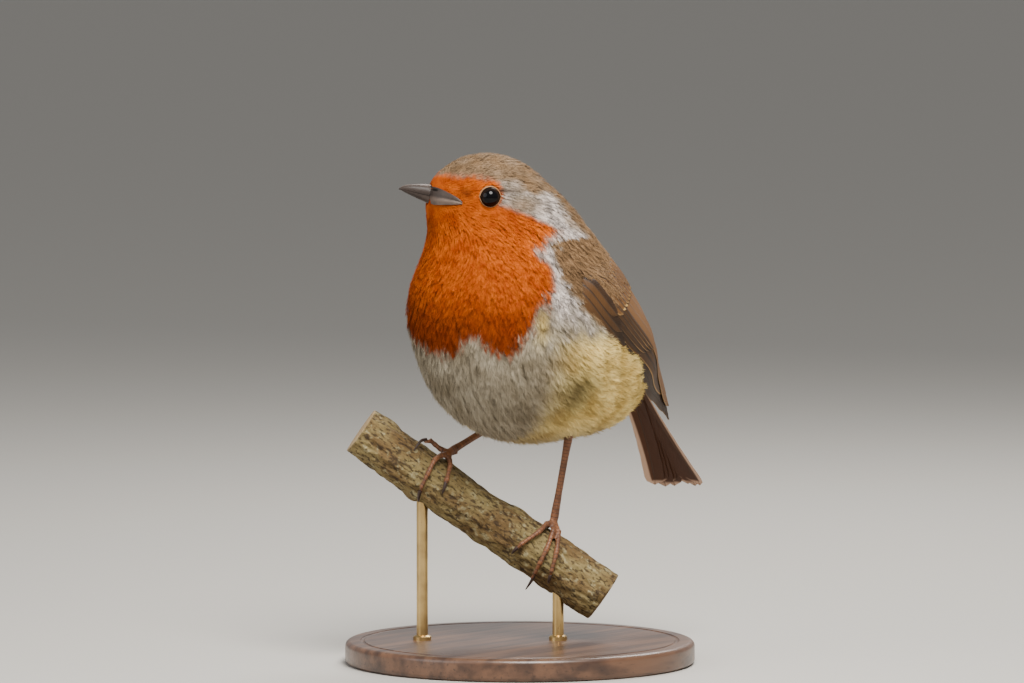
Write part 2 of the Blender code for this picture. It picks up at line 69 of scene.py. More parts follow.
# ---- places on the bird
@dataclass(frozen=True)
class Stance:
    """Where the bird looks, where it is seen from, and how its branch slopes."""

    view_yaw: float = math.radians(38)
    view_rise: float = math.radians(5)
    head_yaw: float = math.radians(42)
    midline: float = 1.5 * MM
    head_centre: Vector = field(default_factory=lambda: Vector((1.4, -12.0, 124.3)) * MM)
    trunk_axis: Vector = field(default_factory=lambda: Vector((1.5, -7.0, 0.0)) * MM)
    branch_slope: float = math.radians(34.9)
    branch_height: float = 32.3 * MM

    @property
    def view_right(self) -> Vector:
        """The level direction that lies to the viewer's right."""
        return Vector((math.cos(self.view_yaw), math.sin(self.view_yaw), 0.0))

    @property
    def near(self) -> tuple[float, float, float]:
        """The level direction towards the viewer."""
        return math.sin(self.view_yaw), -math.cos(self.view_yaw), 0.0

    @property
    def forward(self) -> Vector:
        """The way the head points."""
        return Vector((-math.sin(self.head_yaw), -math.cos(self.head_yaw), 0.0))

    @property
    def left(self) -> Vector:
        """The way to the head's own left."""
        return UP.cross(self.forward)

    @property
    def branch_along(self) -> Vector:
        """Down the branch, towards the viewer's right."""
        return self.view_right * math.cos(self.branch_slope) - UP * math.sin(self.branch_slope)

    @property
    def branch_up(self) -> Vector:
        """Square to the branch and away from its underside."""
        return self.view_right * math.sin(self.branch_slope) + UP * math.cos(self.branch_slope)

    def on_head(self, forward: float, left: float, height: float) -> Vector:
        """A place given in millimetres from the middle of the turned head."""
        aside = self.forward * forward + self.left * left + UP * height
        return self.head_centre + aside * MM

    def head_frame(self, points: Numbers) -> Numbers:
        """Points as millimetres forward, left and up from the middle of the head."""
        from_centre = (points - np.array(self.head_centre)) / MM
        axes = np.stack([np.array(self.forward), np.array(self.left), np.array(UP)])
        return from_centre @ axes.T


STANCE = Stance()


# ---- small sums
def smooth_step(values: Numbers, low: float, high: float) -> Numbers:
    """A soft ramp of the values: 0 below low and 1 above high."""
    share = np.clip((values - low) / (high - low), 0.0, 1.0)
    return share * share * (3.0 - 2.0 * share)


def unit(vectors: Numbers) -> Numbers:
    """The vectors, each made one long."""
    return vectors / np.maximum(np.linalg.norm(vectors, axis=-1, keepdims=True), 1e-12)


def ripple(points: Numbers, wave: float, seed: int) -> Numbers:
    """Soft random hills over space.

    Args:
        points: places in metres, one row each.
        wave: the rough length of a hill in metres.
        seed: picks the pattern.

    Returns:
        One number per place, mostly from -1 to 1.
    """
    chance = np.random.default_rng(seed)
    total = np.zeros(len(points))
    for _ in range(7):
        way = unit(chance.normal(size=3)) * chance.uniform(0.7, 1.4) * 2 * math.pi / wave
        total += np.sin(points @ way + chance.uniform(0, 2 * math.pi))
    return total / 2.4


def smooth_path(knots: Sequence[Sequence[float]], count: int) -> Numbers:
    """Evenly spaced steps of a Catmull-Rom curve through the knots.

    Args:
        knots: the places that the curve passes.
        count: how many steps to return.

    Returns:
        The places along the curve, one row each.
    """
    ends = np.array(knots, float)
    padded = np.vstack([2 * ends[0] - ends[1], ends, 2 * ends[-1] - ends[-2]])
    position = np.linspace(0, len(ends) - 1, count)
    start = np.minimum(position.astype(int), len(ends) - 2)
    t = (position - start)[:, None]
    a, b, c, d = (padded[start + step] for step in range(4))
    return 0.5 * (2 * b + (c - a) * t + (2 * a - 5 * b + 4 * c - d) * t**2 + (3 * b - a - 3 * c + d) * t**3)


def gape_band(forward: Any) -> tuple[Any, Any]:
    """The middle and half height of the gape's bare skin at places forward on the head, in millimetres."""
    reach = np.maximum(forward - 10.4, 0.0)
    top, foot = -1.6 + 1.25 * reach**0.65, -1.76 - 0.05 * reach
    return (top + foot) / 2, (top - foot) / 2


# ---- shader maths
class Wire:
    """A shader socket on which Python arithmetic adds Math nodes."""

    def __init__(self, finish: "Finish", socket: bpy.types.NodeSocket) -> None:
        """Wraps the socket of a node in the finish."""
        self.finish = finish
        self.socket = socket

    def maths(self, operation: str, *others: Any) -> "Wire":
        """The Math node of that operation on this value and the others."""
        values = {index: value for index, value in enumerate((self, *others))}
        return self.finish.node("ShaderNodeMath", {"operation": operation}, values)

    def __rsub__(self, other: Any) -> "Wire":
        """The other less this value."""
        return self.finish.node("ShaderNodeMath", {"operation": "SUBTRACT"}, {0: other, 1: self})

    __add__ = __radd__ = partialmethod(maths, "ADD")
    __mul__ = __rmul__ = partialmethod(maths, "MULTIPLY")
    __sub__ = partialmethod(maths, "SUBTRACT")
    __truediv__ = partialmethod(maths, "DIVIDE")

    def ramp(self, low: float, high: float) -> "Wire":
        """A soft ramp from 0 at low to 1 at high."""
        settings = {"interpolation_type": "SMOOTHSTEP"}
        return self.finish.node("ShaderNodeMapRange", settings, {0: self, 1: low, 2: high})


class Finish:
    """A material under construction, with the Principled shader at its end."""

    def __init__(self, name: str, **constants: float) -> None:
        """Makes the material.

        Args:
            name: the material's name.
            constants: shader sockets that stay the same all over, with _ for each space.
        """
        self.material = bpy.data.materials.new(name)
        self.material.use_nodes = True
        self.tree = self.material.node_tree
        self.shader = self.tree.nodes["Principled BSDF"]
        for socket, value in constants.items():
            self.shader.inputs[socket.replace("_", " ")].default_value = value

    def node(self, kind: str, settings: dict[str, Any], values: dict[Any, Any], output: Any = 0) -> Wire:
        """Adds a node.

        Args:
            kind: the node's type.
            settings: its properties, set first.
            values: numbers, colours or wires for its sockets, by name or number.
            output: the socket to return, by name or number.

        Returns:
            The chosen output.
        """
        made = self.tree.nodes.new(kind)
        for name, value in settings.items():
            setattr(made, name, value)
        self.feed(made, values)
        return Wire(self, made.outputs[output])

    def feed(self, node: bpy.types.Node, values: dict[Any, Any]) -> None:
        """Gives a node's sockets their wires or plain values, by name or number."""
        for name, value in values.items():
            if isinstance(value, Wire):
                self.tree.links.new(value.socket, node.inputs[name])
            else:
                node.inputs[name].default_value = value

    def mix(self, share: Any, low: Any, high: Any) -> Wire:
        """The colour that lies the share of the way from low to high."""
        settings = {"data_type": "RGBA"}
        values = {0: share, 6: self.colour(low), 7: self.colour(high)}
        return self.node("ShaderNodeMix", settings, values, 2)

    def shade(self, colour: Any, amount: Any) -> Wire:
        """The colour times an amount."""
        settings = {"operation": "SCALE"}
        value = colour if isinstance(colour, Wire) else tuple(colour)
        return self.node("ShaderNodeVectorMath", settings, {0: value, 3: amount})

    def layered(self, colour: Any, *layers: tuple[Any, Any]) -> Wire:
        """The colour with others laid over it in turn, each given as its share and itself."""
        for share, over in layers:
            colour = self.mix(share, colour, over)
        return colour

    @staticmethod
    def colour(value: Any) -> Any:
        """A colour as a socket takes it."""
        return value if isinstance(value, Wire) else (*value, 1.0)

    def place(self, scale: Sequence[float] = (1.0, 1.0, 1.0), turn: Sequence[float] = (0, 0, 0)) -> Wire:
        """Object coordinates, turned and stretched."""
        coordinates = self.node("ShaderNodeTexCoord", {}, {}, "Object")
        values = {"Vector": coordinates, "Scale": tuple(scale), "Rotation": tuple(turn)}
        return self.node("ShaderNodeMapping", {}, values)

    def noise(self, wave: float, detail: float = 3.0, place: Optional[Wire] = None) -> Wire:
        """Cloudy noise from 0 to 1 with hills about a wave long, in metres."""
        values = {"Vector": place or self.place(), "Scale": 1.0 / wave, "Detail": detail}
        return self.node("ShaderNodeTexNoise", {}, values)

    def attribute(self, name: str, channel: int = 3) -> Wire:
        """A channel of the piece's own attribute: 0 to 2 of a colour, or 3 for its strength."""
        if channel == 3:
            return self.node("ShaderNodeAttribute", {"attribute_name": name}, {}, "Fac")
        colour = self.node("ShaderNodeAttribute", {"attribute_name": name}, {}, "Color")
        return self.node("ShaderNodeSeparateColor", {}, {0: colour}, channel)

    def paint(
        self, colour: Any, roughness: Any, height: Optional[Wire] = None, depth: float = 0.0
    ) -> "Finish":
        """Joins the colour, roughness and bump to the shader.

        Args:
            colour: the base colour.
            roughness: the roughness.
            height: the bump's height from 0 to 1.
            depth: how many metres a height of 1 stands out.

        Returns:
            This finish.
        """
        self.feed(self.shader, {"Base Color": self.colour(colour), "Roughness": roughness})
        if height is not None:
            bump = self.node("ShaderNodeBump", {}, {"Height": height, "Distance": depth}, "Normal")
            self.feed(self.shader, {"Normal": bump})
        return self


# ---- meshes
def merged_copy(nodes: Iterable[str]) -> Draft:
    """One bmesh of the named frame nodes, with the corners that meet joined."""
    bm = bmesh.new()
    for name in nodes:
        bm.from_mesh(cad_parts[name].data)
    bmesh.ops.remove_doubles(bm, verts=bm.verts, dist=0.002 * MM)
    return bm


def swell(bm: Draft, amount: float) -> None:
    """Moves every corner out along its normal."""
    bm.normal_update()
    for vert in bm.verts:
        vert.co += vert.normal * amount


def read_rows(items: Any, name: str, width: int, kind: type = float) -> Numbers:
    """A property of every item in a mesh's collection, one row of that width each."""
    found = np.empty(len(items) * width, kind)
    items.foreach_get(name, found)
    return found.reshape(-1, width)


def corners_of(mesh: bpy.types.Mesh) -> Numbers:
    """The mesh's corners, one row each."""
    return read_rows(mesh.vertices, "co", 3)


def normals_of(mesh: bpy.types.Mesh) -> Numbers:
    """The mesh's corner normals, one row each."""
    return read_rows(mesh.vertices, "normal", 3)


def place_corners(mesh: bpy.types.Mesh, corners: Numbers) -> None:
    """Puts the mesh's corners at new places."""
    mesh.vertices.foreach_set("co", corners.astype(np.float32).ravel())
    mesh.update()


def relax(mesh: bpy.types.Mesh, rounds: int, share: float = 0.5) -> None:
    """Draws each corner towards its neighbours' middle, again and again."""
    near, far = read_rows(mesh.edges, "vertices", 2, np.int32).T
    count = len(mesh.vertices)
    degree = np.bincount(near, minlength=count) + np.bincount(far, minlength=count)
    corners = corners_of(mesh)
    for _ in range(rounds):
        middle = np.empty_like(corners)
        for axis in range(3):
            line = corners[:, axis]
            middle[:, axis] = np.bincount(near, line[far], count) + np.bincount(far, line[near], count)
        corners += (middle / np.maximum(degree, 1)[:, None] - corners) * share
    place_corners(mesh, corners)


def placed(name: str, data: Any) -> Piece:
    """A new object of the data, at the origin and in the scene."""
    obj = bpy.data.objects.new(name, data)
    bpy.context.scene.collection.objects.link(obj)
    return obj


def meshed(name: str, bm: Draft) -> bpy.types.Mesh:
    """A mesh of the bmesh, which it frees."""
    mesh = bpy.data.meshes.new(name)
    bm.to_mesh(mesh)
    bm.free()
    return mesh


def close_up(bm: Draft) -> None:
    """Joins the corners that meet, fills the holes and turns the faces outwards."""
    bmesh.ops.remove_doubles(bm, verts=bm.verts, dist=0.004 * MM)
    bmesh.ops.holes_fill(bm, edges=bm.edges, sides=200)
    bmesh.ops.recalc_face_normals(bm, faces=bm.faces)


def turned(outline: Iterable[tuple[float, float]], steps: int) -> Draft:
    """A full turn about Z of an outline of distances out and up."""
    bm = bmesh.new()
    verts = [bm.verts.new((out, 0.0, up)) for out, up in outline]
    edges = [bm.edges.new(pair) for pair in zip(verts, verts[1:])]
    bmesh.ops.spin(
        bm, geom=verts + edges, cent=(0, 0, 0), axis=(0, 0, 1), angle=math.tau, steps=steps, use_merge=True
    )
    bmesh.ops.remove_doubles(bm, verts=bm.verts, dist=0.001 * MM)
    return bm


def spaced(places: Numbers, gaps: Numbers) -> list[int]:
    """The numbers of the places that are left when each one kept clears those nearer than its gap."""
    tree = KDTree(len(places))
    for index, place in enumerate(places):
        tree.insert(place, index)
    tree.balance()
    free, kept = [True] * len(places), []
    for index, place in enumerate(places):
        if free[index]:
            kept.append(index)
            for _, other, _ in tree.find_range(place, gaps[index]):
                free[other] = False
    return kept


def cast(name: str, bm: Draft, voxel: float) -> Piece:
    """An object whose mesh is the bmesh's pieces fused into one skin of even squares.

    Args:
        name: the object's name.
        bm: the closed pieces, which it frees.
        voxel: the side of a square in metres.

    Returns:
        The object, at the origin.
    """
    mesh = meshed(name, bm)
    obj = placed(name, mesh)
    fuse = obj.modifiers.new("fuse", "REMESH")
    fuse.mode = "VOXEL"
    fuse.voxel_size = voxel
    fuse.use_smooth_shade = True
    bpy.context.view_layer.update()
    graph = bpy.context.evaluated_depsgraph_get()
    fused = bpy.data.meshes.new_from_object(obj.evaluated_get(graph))
    obj.modifiers.clear()
    obj.data = fused
    bpy.data.meshes.remove(mesh)
    drop_hollows(fused)
    return obj


def drop_hollows(mesh: bpy.types.Mesh) -> None:
    """Drops the inside-out shells of closed hollows, so that only outer skins are left."""
    bm = bmesh.new()
    bm.from_mesh(mesh)
    left = set(bm.verts)
    while left:
        shell = [left.pop()]
        for vert in shell:
            near = {edge.other_vert(vert) for edge in vert.link_edges} & left
            left -= near
            shell.extend(near)
        faces = {face for vert in shell for face in vert.link_faces}
        if sum(face.calc_center_median().dot(face.normal) * face.calc_area() for face in faces) < 0:
            bmesh.ops.delete(bm, geom=shell, context="VERTS")
    bm.to_mesh(mesh)
    bm.free()


def finished(name: str, bm: Draft, finish: Finish, sharp: float = 40.0) -> Piece:
    """A smooth-shaded object of the bmesh, in its finish.

    Args:
        name: the object's name.
        bm: the mesh, which it frees.
        finish: the material's finish.
        sharp: edges steeper than this many degrees stay sharp.

    Returns:
        The object, at the origin.
    """
    mesh = meshed(name, bm)
    mesh.shade_smooth()
    mesh.set_sharp_from_angle(angle=math.radians(sharp))
    return dress(placed(name, mesh), finish)


def dress(obj: Piece, finish: Finish) -> Piece:
    """Gives the object its finish as its only material."""
    obj.data.materials.clear()
    obj.data.materials.append(finish.material)
    return obj


def stand_in(obj: Piece, slot: str, *nodes: str) -> None:
    """The piece rides on the model and replaces the nodes, which are hidden."""
    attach(obj, ROOT_BODY)
    if nodes:
        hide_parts(*nodes)
    LOG.info("%s: %d triangles", obj.name, sum(len(face.vertices) - 2 for face in obj.data.polygons))


# ---- the plumage's colours and lie
@dataclass(frozen=True)
class Guide:
    """How the coat lies about one place: its way, and its feathers' length and spacing in millimetres."""

    place: Vector
    way: Vector
    length: float
    spacing: float
    depth: float


def head_guide(place: Sequence[float], way: Sequence[float], *sizes: float) -> list[Guide]:
    """A guide on each side of the head, in the head's own forward, left and up.

    Args:
        place: millimetres from the middle of the head.
        way: the lie of the feathers.
        sizes: feather length, feather spacing and the coat's depth, in millimetres.

    Returns:
        One guide on the midline, or a pair.
    """
    made = []
    for side in (1, -1) if place[1] else (1,):
        at = STANCE.on_head(place[0], place[1] * side, place[2])
        lie = STANCE.forward * way[0] + STANCE.left * (way[1] * side) + UP * way[2]
        made.append(Guide(at, lie.normalized(), *sizes))
    return made


def trunk_guide(place: Sequence[float], way: Sequence[float], *sizes: float) -> list[Guide]:
    """A guide on each side of the trunk, off its midline; the arguments are as for the head."""
    made = []
    for side in (1, -1) if place[0] else (1,):
        at = Vector((STANCE.midline / MM + place[0] * side, place[1], place[2])) * MM
        made.append(Guide(at, Vector((way[0] * side, way[1], way[2])).normalized(), *sizes))
    return made


@dataclass
class Plumage:
    """The lie of the feathers and the markings that the skin and the coat share."""

    bib_side: tuple[tuple[float, float], ...] = (
        (0, 130), (45, 129.5), (78, 128.5), (90, 125), (85, 122), (112, 120), (136, 116), (110, 113),
        (76, 109), (65, 102), (57, 94), (46, 88),
    )
    bib_floor: float = 84.0
    bib_half_turn: float = 46.0
    closeness: float = 0.54
    guides: list[Guide] = field(default_factory=list)

    def __post_init__(self) -> None:
        """Lays out the guides, from the bill back over the head and down to the tail."""
        for line in (
            ((16.0, 0, 3.0), (-0.5, 0, 0.9), 1.7, 0.70, 0.5),
            ((12.5, 4.5, 5.0), (-0.8, 0.2, 0.5), 2.0, 0.80, 0.8),
            ((9.0, 0, 9.5), (-0.95, 0, 0.4), 2.8, 1.0, 1.1),
            ((2.0, 0, 11.5), (-1, 0, -0.05), 3.4, 1.15, 1.3),
            ((2.0, 8.0, 8.0), (-1, 0.05, -0.05), 3.2, 1.1, 1.2),
            ((-8.0, 0, 9.5), (-0.9, 0, -0.5), 4.0, 1.3, 1.5),
            ((-15.0, 0, 1.0), (-0.55, 0, -0.9), 4.6, 1.5, 1.7),
            ((15.0, 3.5, 0.0), (-0.7, 0.6, 0.05), 1.2, 0.58, 0.35),
            ((11.0, 7.5, 0.0), (-0.95, 0.3, 0.0), 1.4, 0.65, 0.6),
            ((6.0, 8.5, 5.0), (-1, 0.1, 0.1), 1.8, 0.75, 0.8),
            ((-2.0, 10.8, 1.0), (-1, 0.05, -0.2), 2.6, 0.95, 1.0),
            ((5.0, 10.5, -5.0), (-0.95, 0.1, -0.35), 1.8, 0.75, 0.9),
            ((-5.0, 12.0, -4.0), (-0.9, 0, -0.5), 3.2, 1.15, 1.3),
            ((0.0, 12.5, -9.0), (-0.6, 0.1, -0.85), 3.0, 1.15, 1.4),
            ((11.0, 7.0, -6.0), (-0.65, 0.35, -0.7), 1.8, 0.8, 0.9),
            ((16.5, 0, -4.5), (-0.4, 0, -0.9), 1.4, 0.65, 0.5),
            ((14.5, 4.0, -4.5), (-0.5, 0.4, -0.8), 1.4, 0.65, 0.5),
            ((14.5, 0, -11.0), (-0.05, 0, -1), 3.0, 1.05, 1.3),
            ((10.0, 9.0, -13.0), (-0.2, 0.1, -1), 3.4, 1.15, 1.5),
            ((-8.0, 13.5, -12.0), (-0.35, 0, -1), 4.5, 1.4, 1.7),
        ):
            self.guides += head_guide(*line)
        for line in (
            ((0, -26, 107), (0, -0.35, -1), 4.5, 1.4, 1.9),
            ((20, -14, 106), (0.1, 0.2, -1), 5.0, 1.5, 1.9),
            ((0, -32, 98), (0, -0.15, -1), 6.0, 1.6, 2.1),
            ((0, -34, 90), (0, 0.05, -1), 7.0, 1.7, 2.3),
            ((18, -26, 92), (0.1, 0.12, -1), 7.0, 1.7, 2.3),
            ((0, -32, 80), (0, 0.3, -1), 8.0, 1.9, 2.5),
            ((18, -24, 79), (0.05, 0.45, -1), 8.0, 1.9, 2.5),
            ((26, -8, 93), (0, 0.5, -0.9), 7.5, 1.7, 2.3),
            ((26, -6, 86), (0, 0.8, -0.5), 8.0, 1.9, 2.4),
            ((26, 8, 76), (0, 0.98, -0.1), 9.0, 1.9, 2.5),
            ((25, 2, 86), (0, 0.98, 0.0), 6.0, 1.5, 2.0),
            ((23, 18, 77), (0, 0.98, 0.1), 6.0, 1.5, 2.0),
            ((21, 24, 74), (-0.12, 1, 0.06), 11.5, 2.1, 3.0),
            ((0, -24, 70), (0, 0.75, -0.7), 9.0, 2.1, 2.8),
            ((0, -10, 61), (0, 1, -0.1), 9.0, 2.1, 2.9),
            ((17, -12, 66), (0, 0.95, -0.35), 9.5, 2.1, 2.9),
            ((0, 15, 60), (0, 1, 0.12), 9.0, 2.1, 2.9),
            ((0, 34, 66), (0, 0.85, -0.4), 10.0, 2.1, 2.4),
            ((0, 8, 114), (0, 0.75, -0.65), 6.0, 1.7, 1.9),
            ((12, 8, 108), (0.05, 0.7, -0.7), 6.5, 1.7, 1.9),
            ((0, 28, 103), (0, 0.75, -0.65), 7.0, 1.8, 2.0),
            ((23, -8, 101), (0, 0.7, -0.7), 6.0, 1.5, 1.6),
            ((17, 4, 106), (0, 0.75, -0.65), 6.0, 1.5, 1.6),
            ((0, 42, 86), (0, 0.6, -0.8), 8.0, 1.9, 2.0),
        ):
            self.guides += trunk_guide(*line)

    def lie(self, points: Numbers, normals: Numbers) -> tuple[Numbers, Numbers]:
        """How the coat lies at each place of the skin.

        Args:
            points: places on the skin.
            normals: the skin's outward directions there.

        Returns:
            The feathers' way along the skin, and their length, spacing and depth in metres.
        """
        places = np.array([guide.place for guide in self.guides]) / MM
        ways = np.array([guide.way for guide in self.guides])
        sizes = np.array([(guide.length, guide.spacing, guide.depth) for guide in self.guides]) * MM
        sizes *= (0.95, self.closeness, 0.78)
        reach = ((points[:, None, :] / MM - places[None]) ** 2).sum(axis=2) + 4.0
        share = reach**-2.0
        share /= share.sum(axis=1, keepdims=True)
        way = share @ ways
        way -= normals * (way * normals).sum(axis=1, keepdims=True)
        return unit(way), share @ sizes

    def chart(self, points: Numbers) -> Numbers:
        """Each place as its turn from straight ahead in degrees and its height in millimetres.

        The turn is taken from the bill on the head and from the breastbone on the trunk.
        """
        local = STANCE.head_frame(points)
        head = np.degrees(np.arctan2(local[:, 1], local[:, 0]))
        off = points - np.array(STANCE.trunk_axis)
        trunk = np.degrees(np.arctan2(off[:, 0], -off[:, 1]))
        height = points[:, 2] / MM
        share = smooth_step(height, 104, 118)
        behind = np.abs(head - trunk) > 180
        head = np.where(behind, head - 360 * np.sign(head), head)
        return np.stack([trunk * (1 - share) + head * share, height], axis=1)

    def inside_bib(self, chart: Numbers) -> Numbers:
        """How many millimetres each charted place lies inside the orange face and bib."""
        side = smooth_path(self.bib_side, 56)
        turns = np.linspace(0.92, -0.92, 24) * self.bib_half_turn
        foot = np.stack([turns, self.bib_foot(turns)], axis=1)
        outline = np.concatenate([side, foot, side[:0:-1] * (-1, 1)]) * (0.27, 1.0)
        spots = chart * (0.27, 1.0)
        nearest = np.full(len(spots), 1e9)
        crossings = np.zeros(len(spots), int)
        for start, end in zip(outline, np.roll(outline, -1, axis=0)):
            side = end - start
            off = spots - start
            share = np.clip(off @ side / (side @ side), 0, 1)
            nearest = np.minimum(nearest, np.linalg.norm(off - share[:, None] * side, axis=1))
            spans = (start[1] > spots[:, 1]) != (end[1] > spots[:, 1])
            rise = side[1] if side[1] else 1e-9
            crossings += spans & (off[:, 0] < side[0] * off[:, 1] / rise)
        return np.where(crossings % 2 == 1, nearest, -nearest)

    def bib_foot(self, turn: Numbers) -> Numbers:
        """The height of the bib's lower edge: a bowl with one notch and one lobe beside it."""
        bowl = self.bib_floor + 4.0 * (turn / self.bib_half_turn) ** 2
        return bowl + 4.5 * np.exp(-(((turn - 17) / 9) ** 2)) - 3.0 * np.exp(-(((turn - 38) / 8) ** 2))

    def marks(self, points: Numbers) -> Numbers:
        """The markings at each place.

        Args:
            points: places on the skin or the coat.

        Returns:
            Shares of orange, brown, grey and buff, and of darkness, which holds dark markings and painted
            shade, one row each; the rest is pale.
        """
        chart = self.chart(points)
        fray = ripple(points, 1.3 * MM, 4)
        fringe = np.where(chart[:, 1] < 100, 0.7, 0.2) * fray
        inside = self.inside_bib(chart) + 0.35 * ripple(points, 5 * MM, 3) + fringe
        turn, height = np.abs(chart[:, 0]), chart[:, 1]
        olive = np.exp(-(((turn - 58) / 5) ** 2) - ((height - 92.5) / 4.5) ** 2)
        orange = smooth_step(inside, -1.1, 0.9) * (1 - 0.9 * smooth_step(olive, 0.15, 0.6))
        crown_edge = 125.4 - 0.012 * np.clip(turn - 90, 0, 80)
        nape = smooth_step(turn + 1.5 * ripple(points, 6 * MM, 5) + 2 * fray, 148, 168)
        below, over = np.clip((104 - height) / 30, 0, 1), np.clip((height - 105.5) / 7.5, 0, 1)
        shoulder = 75 + 103 * below**1.74 + 46 * over**1.6
        mantle = smooth_step(turn - shoulder + 1.5 * ripple(points, 4 * MM, 8) + 1.5 * fray, -4, 4)
        above = smooth_step(height - crown_edge + 0.4 * ripple(points, 4 * MM, 6) + 0.1 * fray, -1.0, 1.0)
        brow = smooth_step(turn, 70, 90) * (1 - smooth_step(turn, 110, 135))
        brow *= 1 - smooth_step(height, 127.5, 130)
        ashy = np.maximum(0.6 * brow, 0.14 + 0.06 * ripple(points, 5 * MM, 12))
        brown = np.maximum(above * (1 - ashy), np.where(height > 113, nape, mantle))
        local = STANCE.head_frame(points)
        ear = np.exp(-(((local[:, 0] + 5) / 5.0) ** 2) - ((local[:, 2] + 2) / 3.0) ** 2)
        brown = np.maximum(brown, 0.68 * ear)
        grey = smooth_step(height + 1.5 * ripple(points, 5 * MM, 7), 87, 99) * (1 - olive)
        buff = smooth_step(turn, 58, 92) * (1 - smooth_step(height, 84, 92)) * smooth_step(height, 55, 68)
        # Painted shade: a shadowed patch low on the flank, and a painted shadow in the fold between the
        # scapulars and the mantle.
        shaded = 1.15 * np.exp(-(((turn - 89) / 15) ** 2) - ((height - 73.8) / 6.0) ** 2)
        fold = 0.40 * np.exp(-(((turn - 88) / 9) ** 2) - ((height - 103) / 4.2) ** 2)
        buff = np.maximum(buff, olive)
        left = 1.0 - orange
        brown = brown * left
        grey = np.clip(grey * left - brown, 0, 1)
        buff = np.clip(buff * left - brown - grey, 0, 1)
        stripe = np.exp(-(((local[:, 2] - 1.6) / 0.55) ** 2)) * (local[:, 1] ** 2 > 9) * (local[:, 0] < 5)
        stripe *= smooth_step(local[:, 0], -5.0, -1.0)
        lore = np.exp(-(((local[:, 0] - 9.5) / 1.8) ** 2) - ((local[:, 2] - 1.2) / 1.3) ** 2)
        dark = np.clip(stripe + 0.55 * lore + 0.88 * shaded + 0.5 * olive + 0.12 * ear + fold, 0, 1)
        return np.stack([orange, brown, grey, buff, dark], axis=1)


class FeatherFinish(Finish):
    """Soft body plumage: orange, olive-brown, blue-grey, buff and the pale belly, by the marks."""

    def __init__(self, name: str, coat: bool) -> None:
        """Mixes the five colours by the marks.

        Args:
            name: the material's name.
            coat: whether it is for barbs, which have a strand attribute, or for the bare skin.
        """
        super().__init__(name, Specular_IOR_Level=0.05)
        marks = [self.attribute("marks", channel) for channel in range(3)]
        tone, warm = self.noise(2.2 * MM, 3.0), self.noise(7 * MM, 3.0)
        low = self.node("ShaderNodeSeparateXYZ", {}, {0: self.place()}, 2).ramp(0.106, 0.088)
        along, own, strand = (self.attribute("strand", channel) for channel in range(3))
        streak = tone.ramp(0.3, 0.7) * 0.45 + own * 0.22 + strand * 0.33
        glow = tone.ramp(0.3, 0.7) * 0.6 + strand * 0.2 + warm.ramp(0.35, 0.65) * 0.2
        orange = self.mix(glow, (0.27, 0.036, 0.002), (0.54, 0.112, 0.006))
        # Darker orange low on the breast: partly the bib's own deeper colour and partly painted shade.
        orange = self.mix(low * 0.8, orange, (0.145, 0.020, 0.002))
        brown = self.mix(streak, (0.100, 0.058, 0.028), (0.250, 0.148, 0.074))
        grey = self.mix(streak.ramp(0.15, 0.85), (0.19, 0.165, 0.15), (0.64, 0.56, 0.51))
        # The pale belly's colours are kept dark as painted shade for its shadowed underside.
        pale = self.mix(warm.ramp(0.3, 0.7), (0.22, 0.18, 0.12), (0.37, 0.32, 0.235))
        buff = self.mix(warm.ramp(0.3, 0.7), (0.56, 0.385, 0.115), (0.95, 0.745, 0.29))
        warmth, dark = (self.attribute("tones", channel) for channel in range(2))
        # The darkness layer lays down the eye stripe, lores, ear and olive patch, and also painted shade on
        # the flank and in the scapular fold.
        colour = self.layered(
            pale, (warmth, buff), (marks[2], grey), (marks[1], brown), (marks[0], orange),
            (dark * 0.85, (0.028, 0.016, 0.009)),
        )
        if coat:
            # Each barb darkens towards its root, partly its grey base and partly painted shade under the
            # feathers that lie over it; the rest varies at random by feather and by barb.
            light = (along.ramp(0.0, 0.7) * 0.18 + 0.84) * (own * 0.14 + 0.93) * (strand * 0.44 + 0.78)
            colour = self.shade(colour, light)
        else:
            # Painted shade: the bare skin is darkened so that the gaps between the feathers look shadowed.
            colour = self.shade(colour, 0.75)
        self.paint(colour, 0.72)


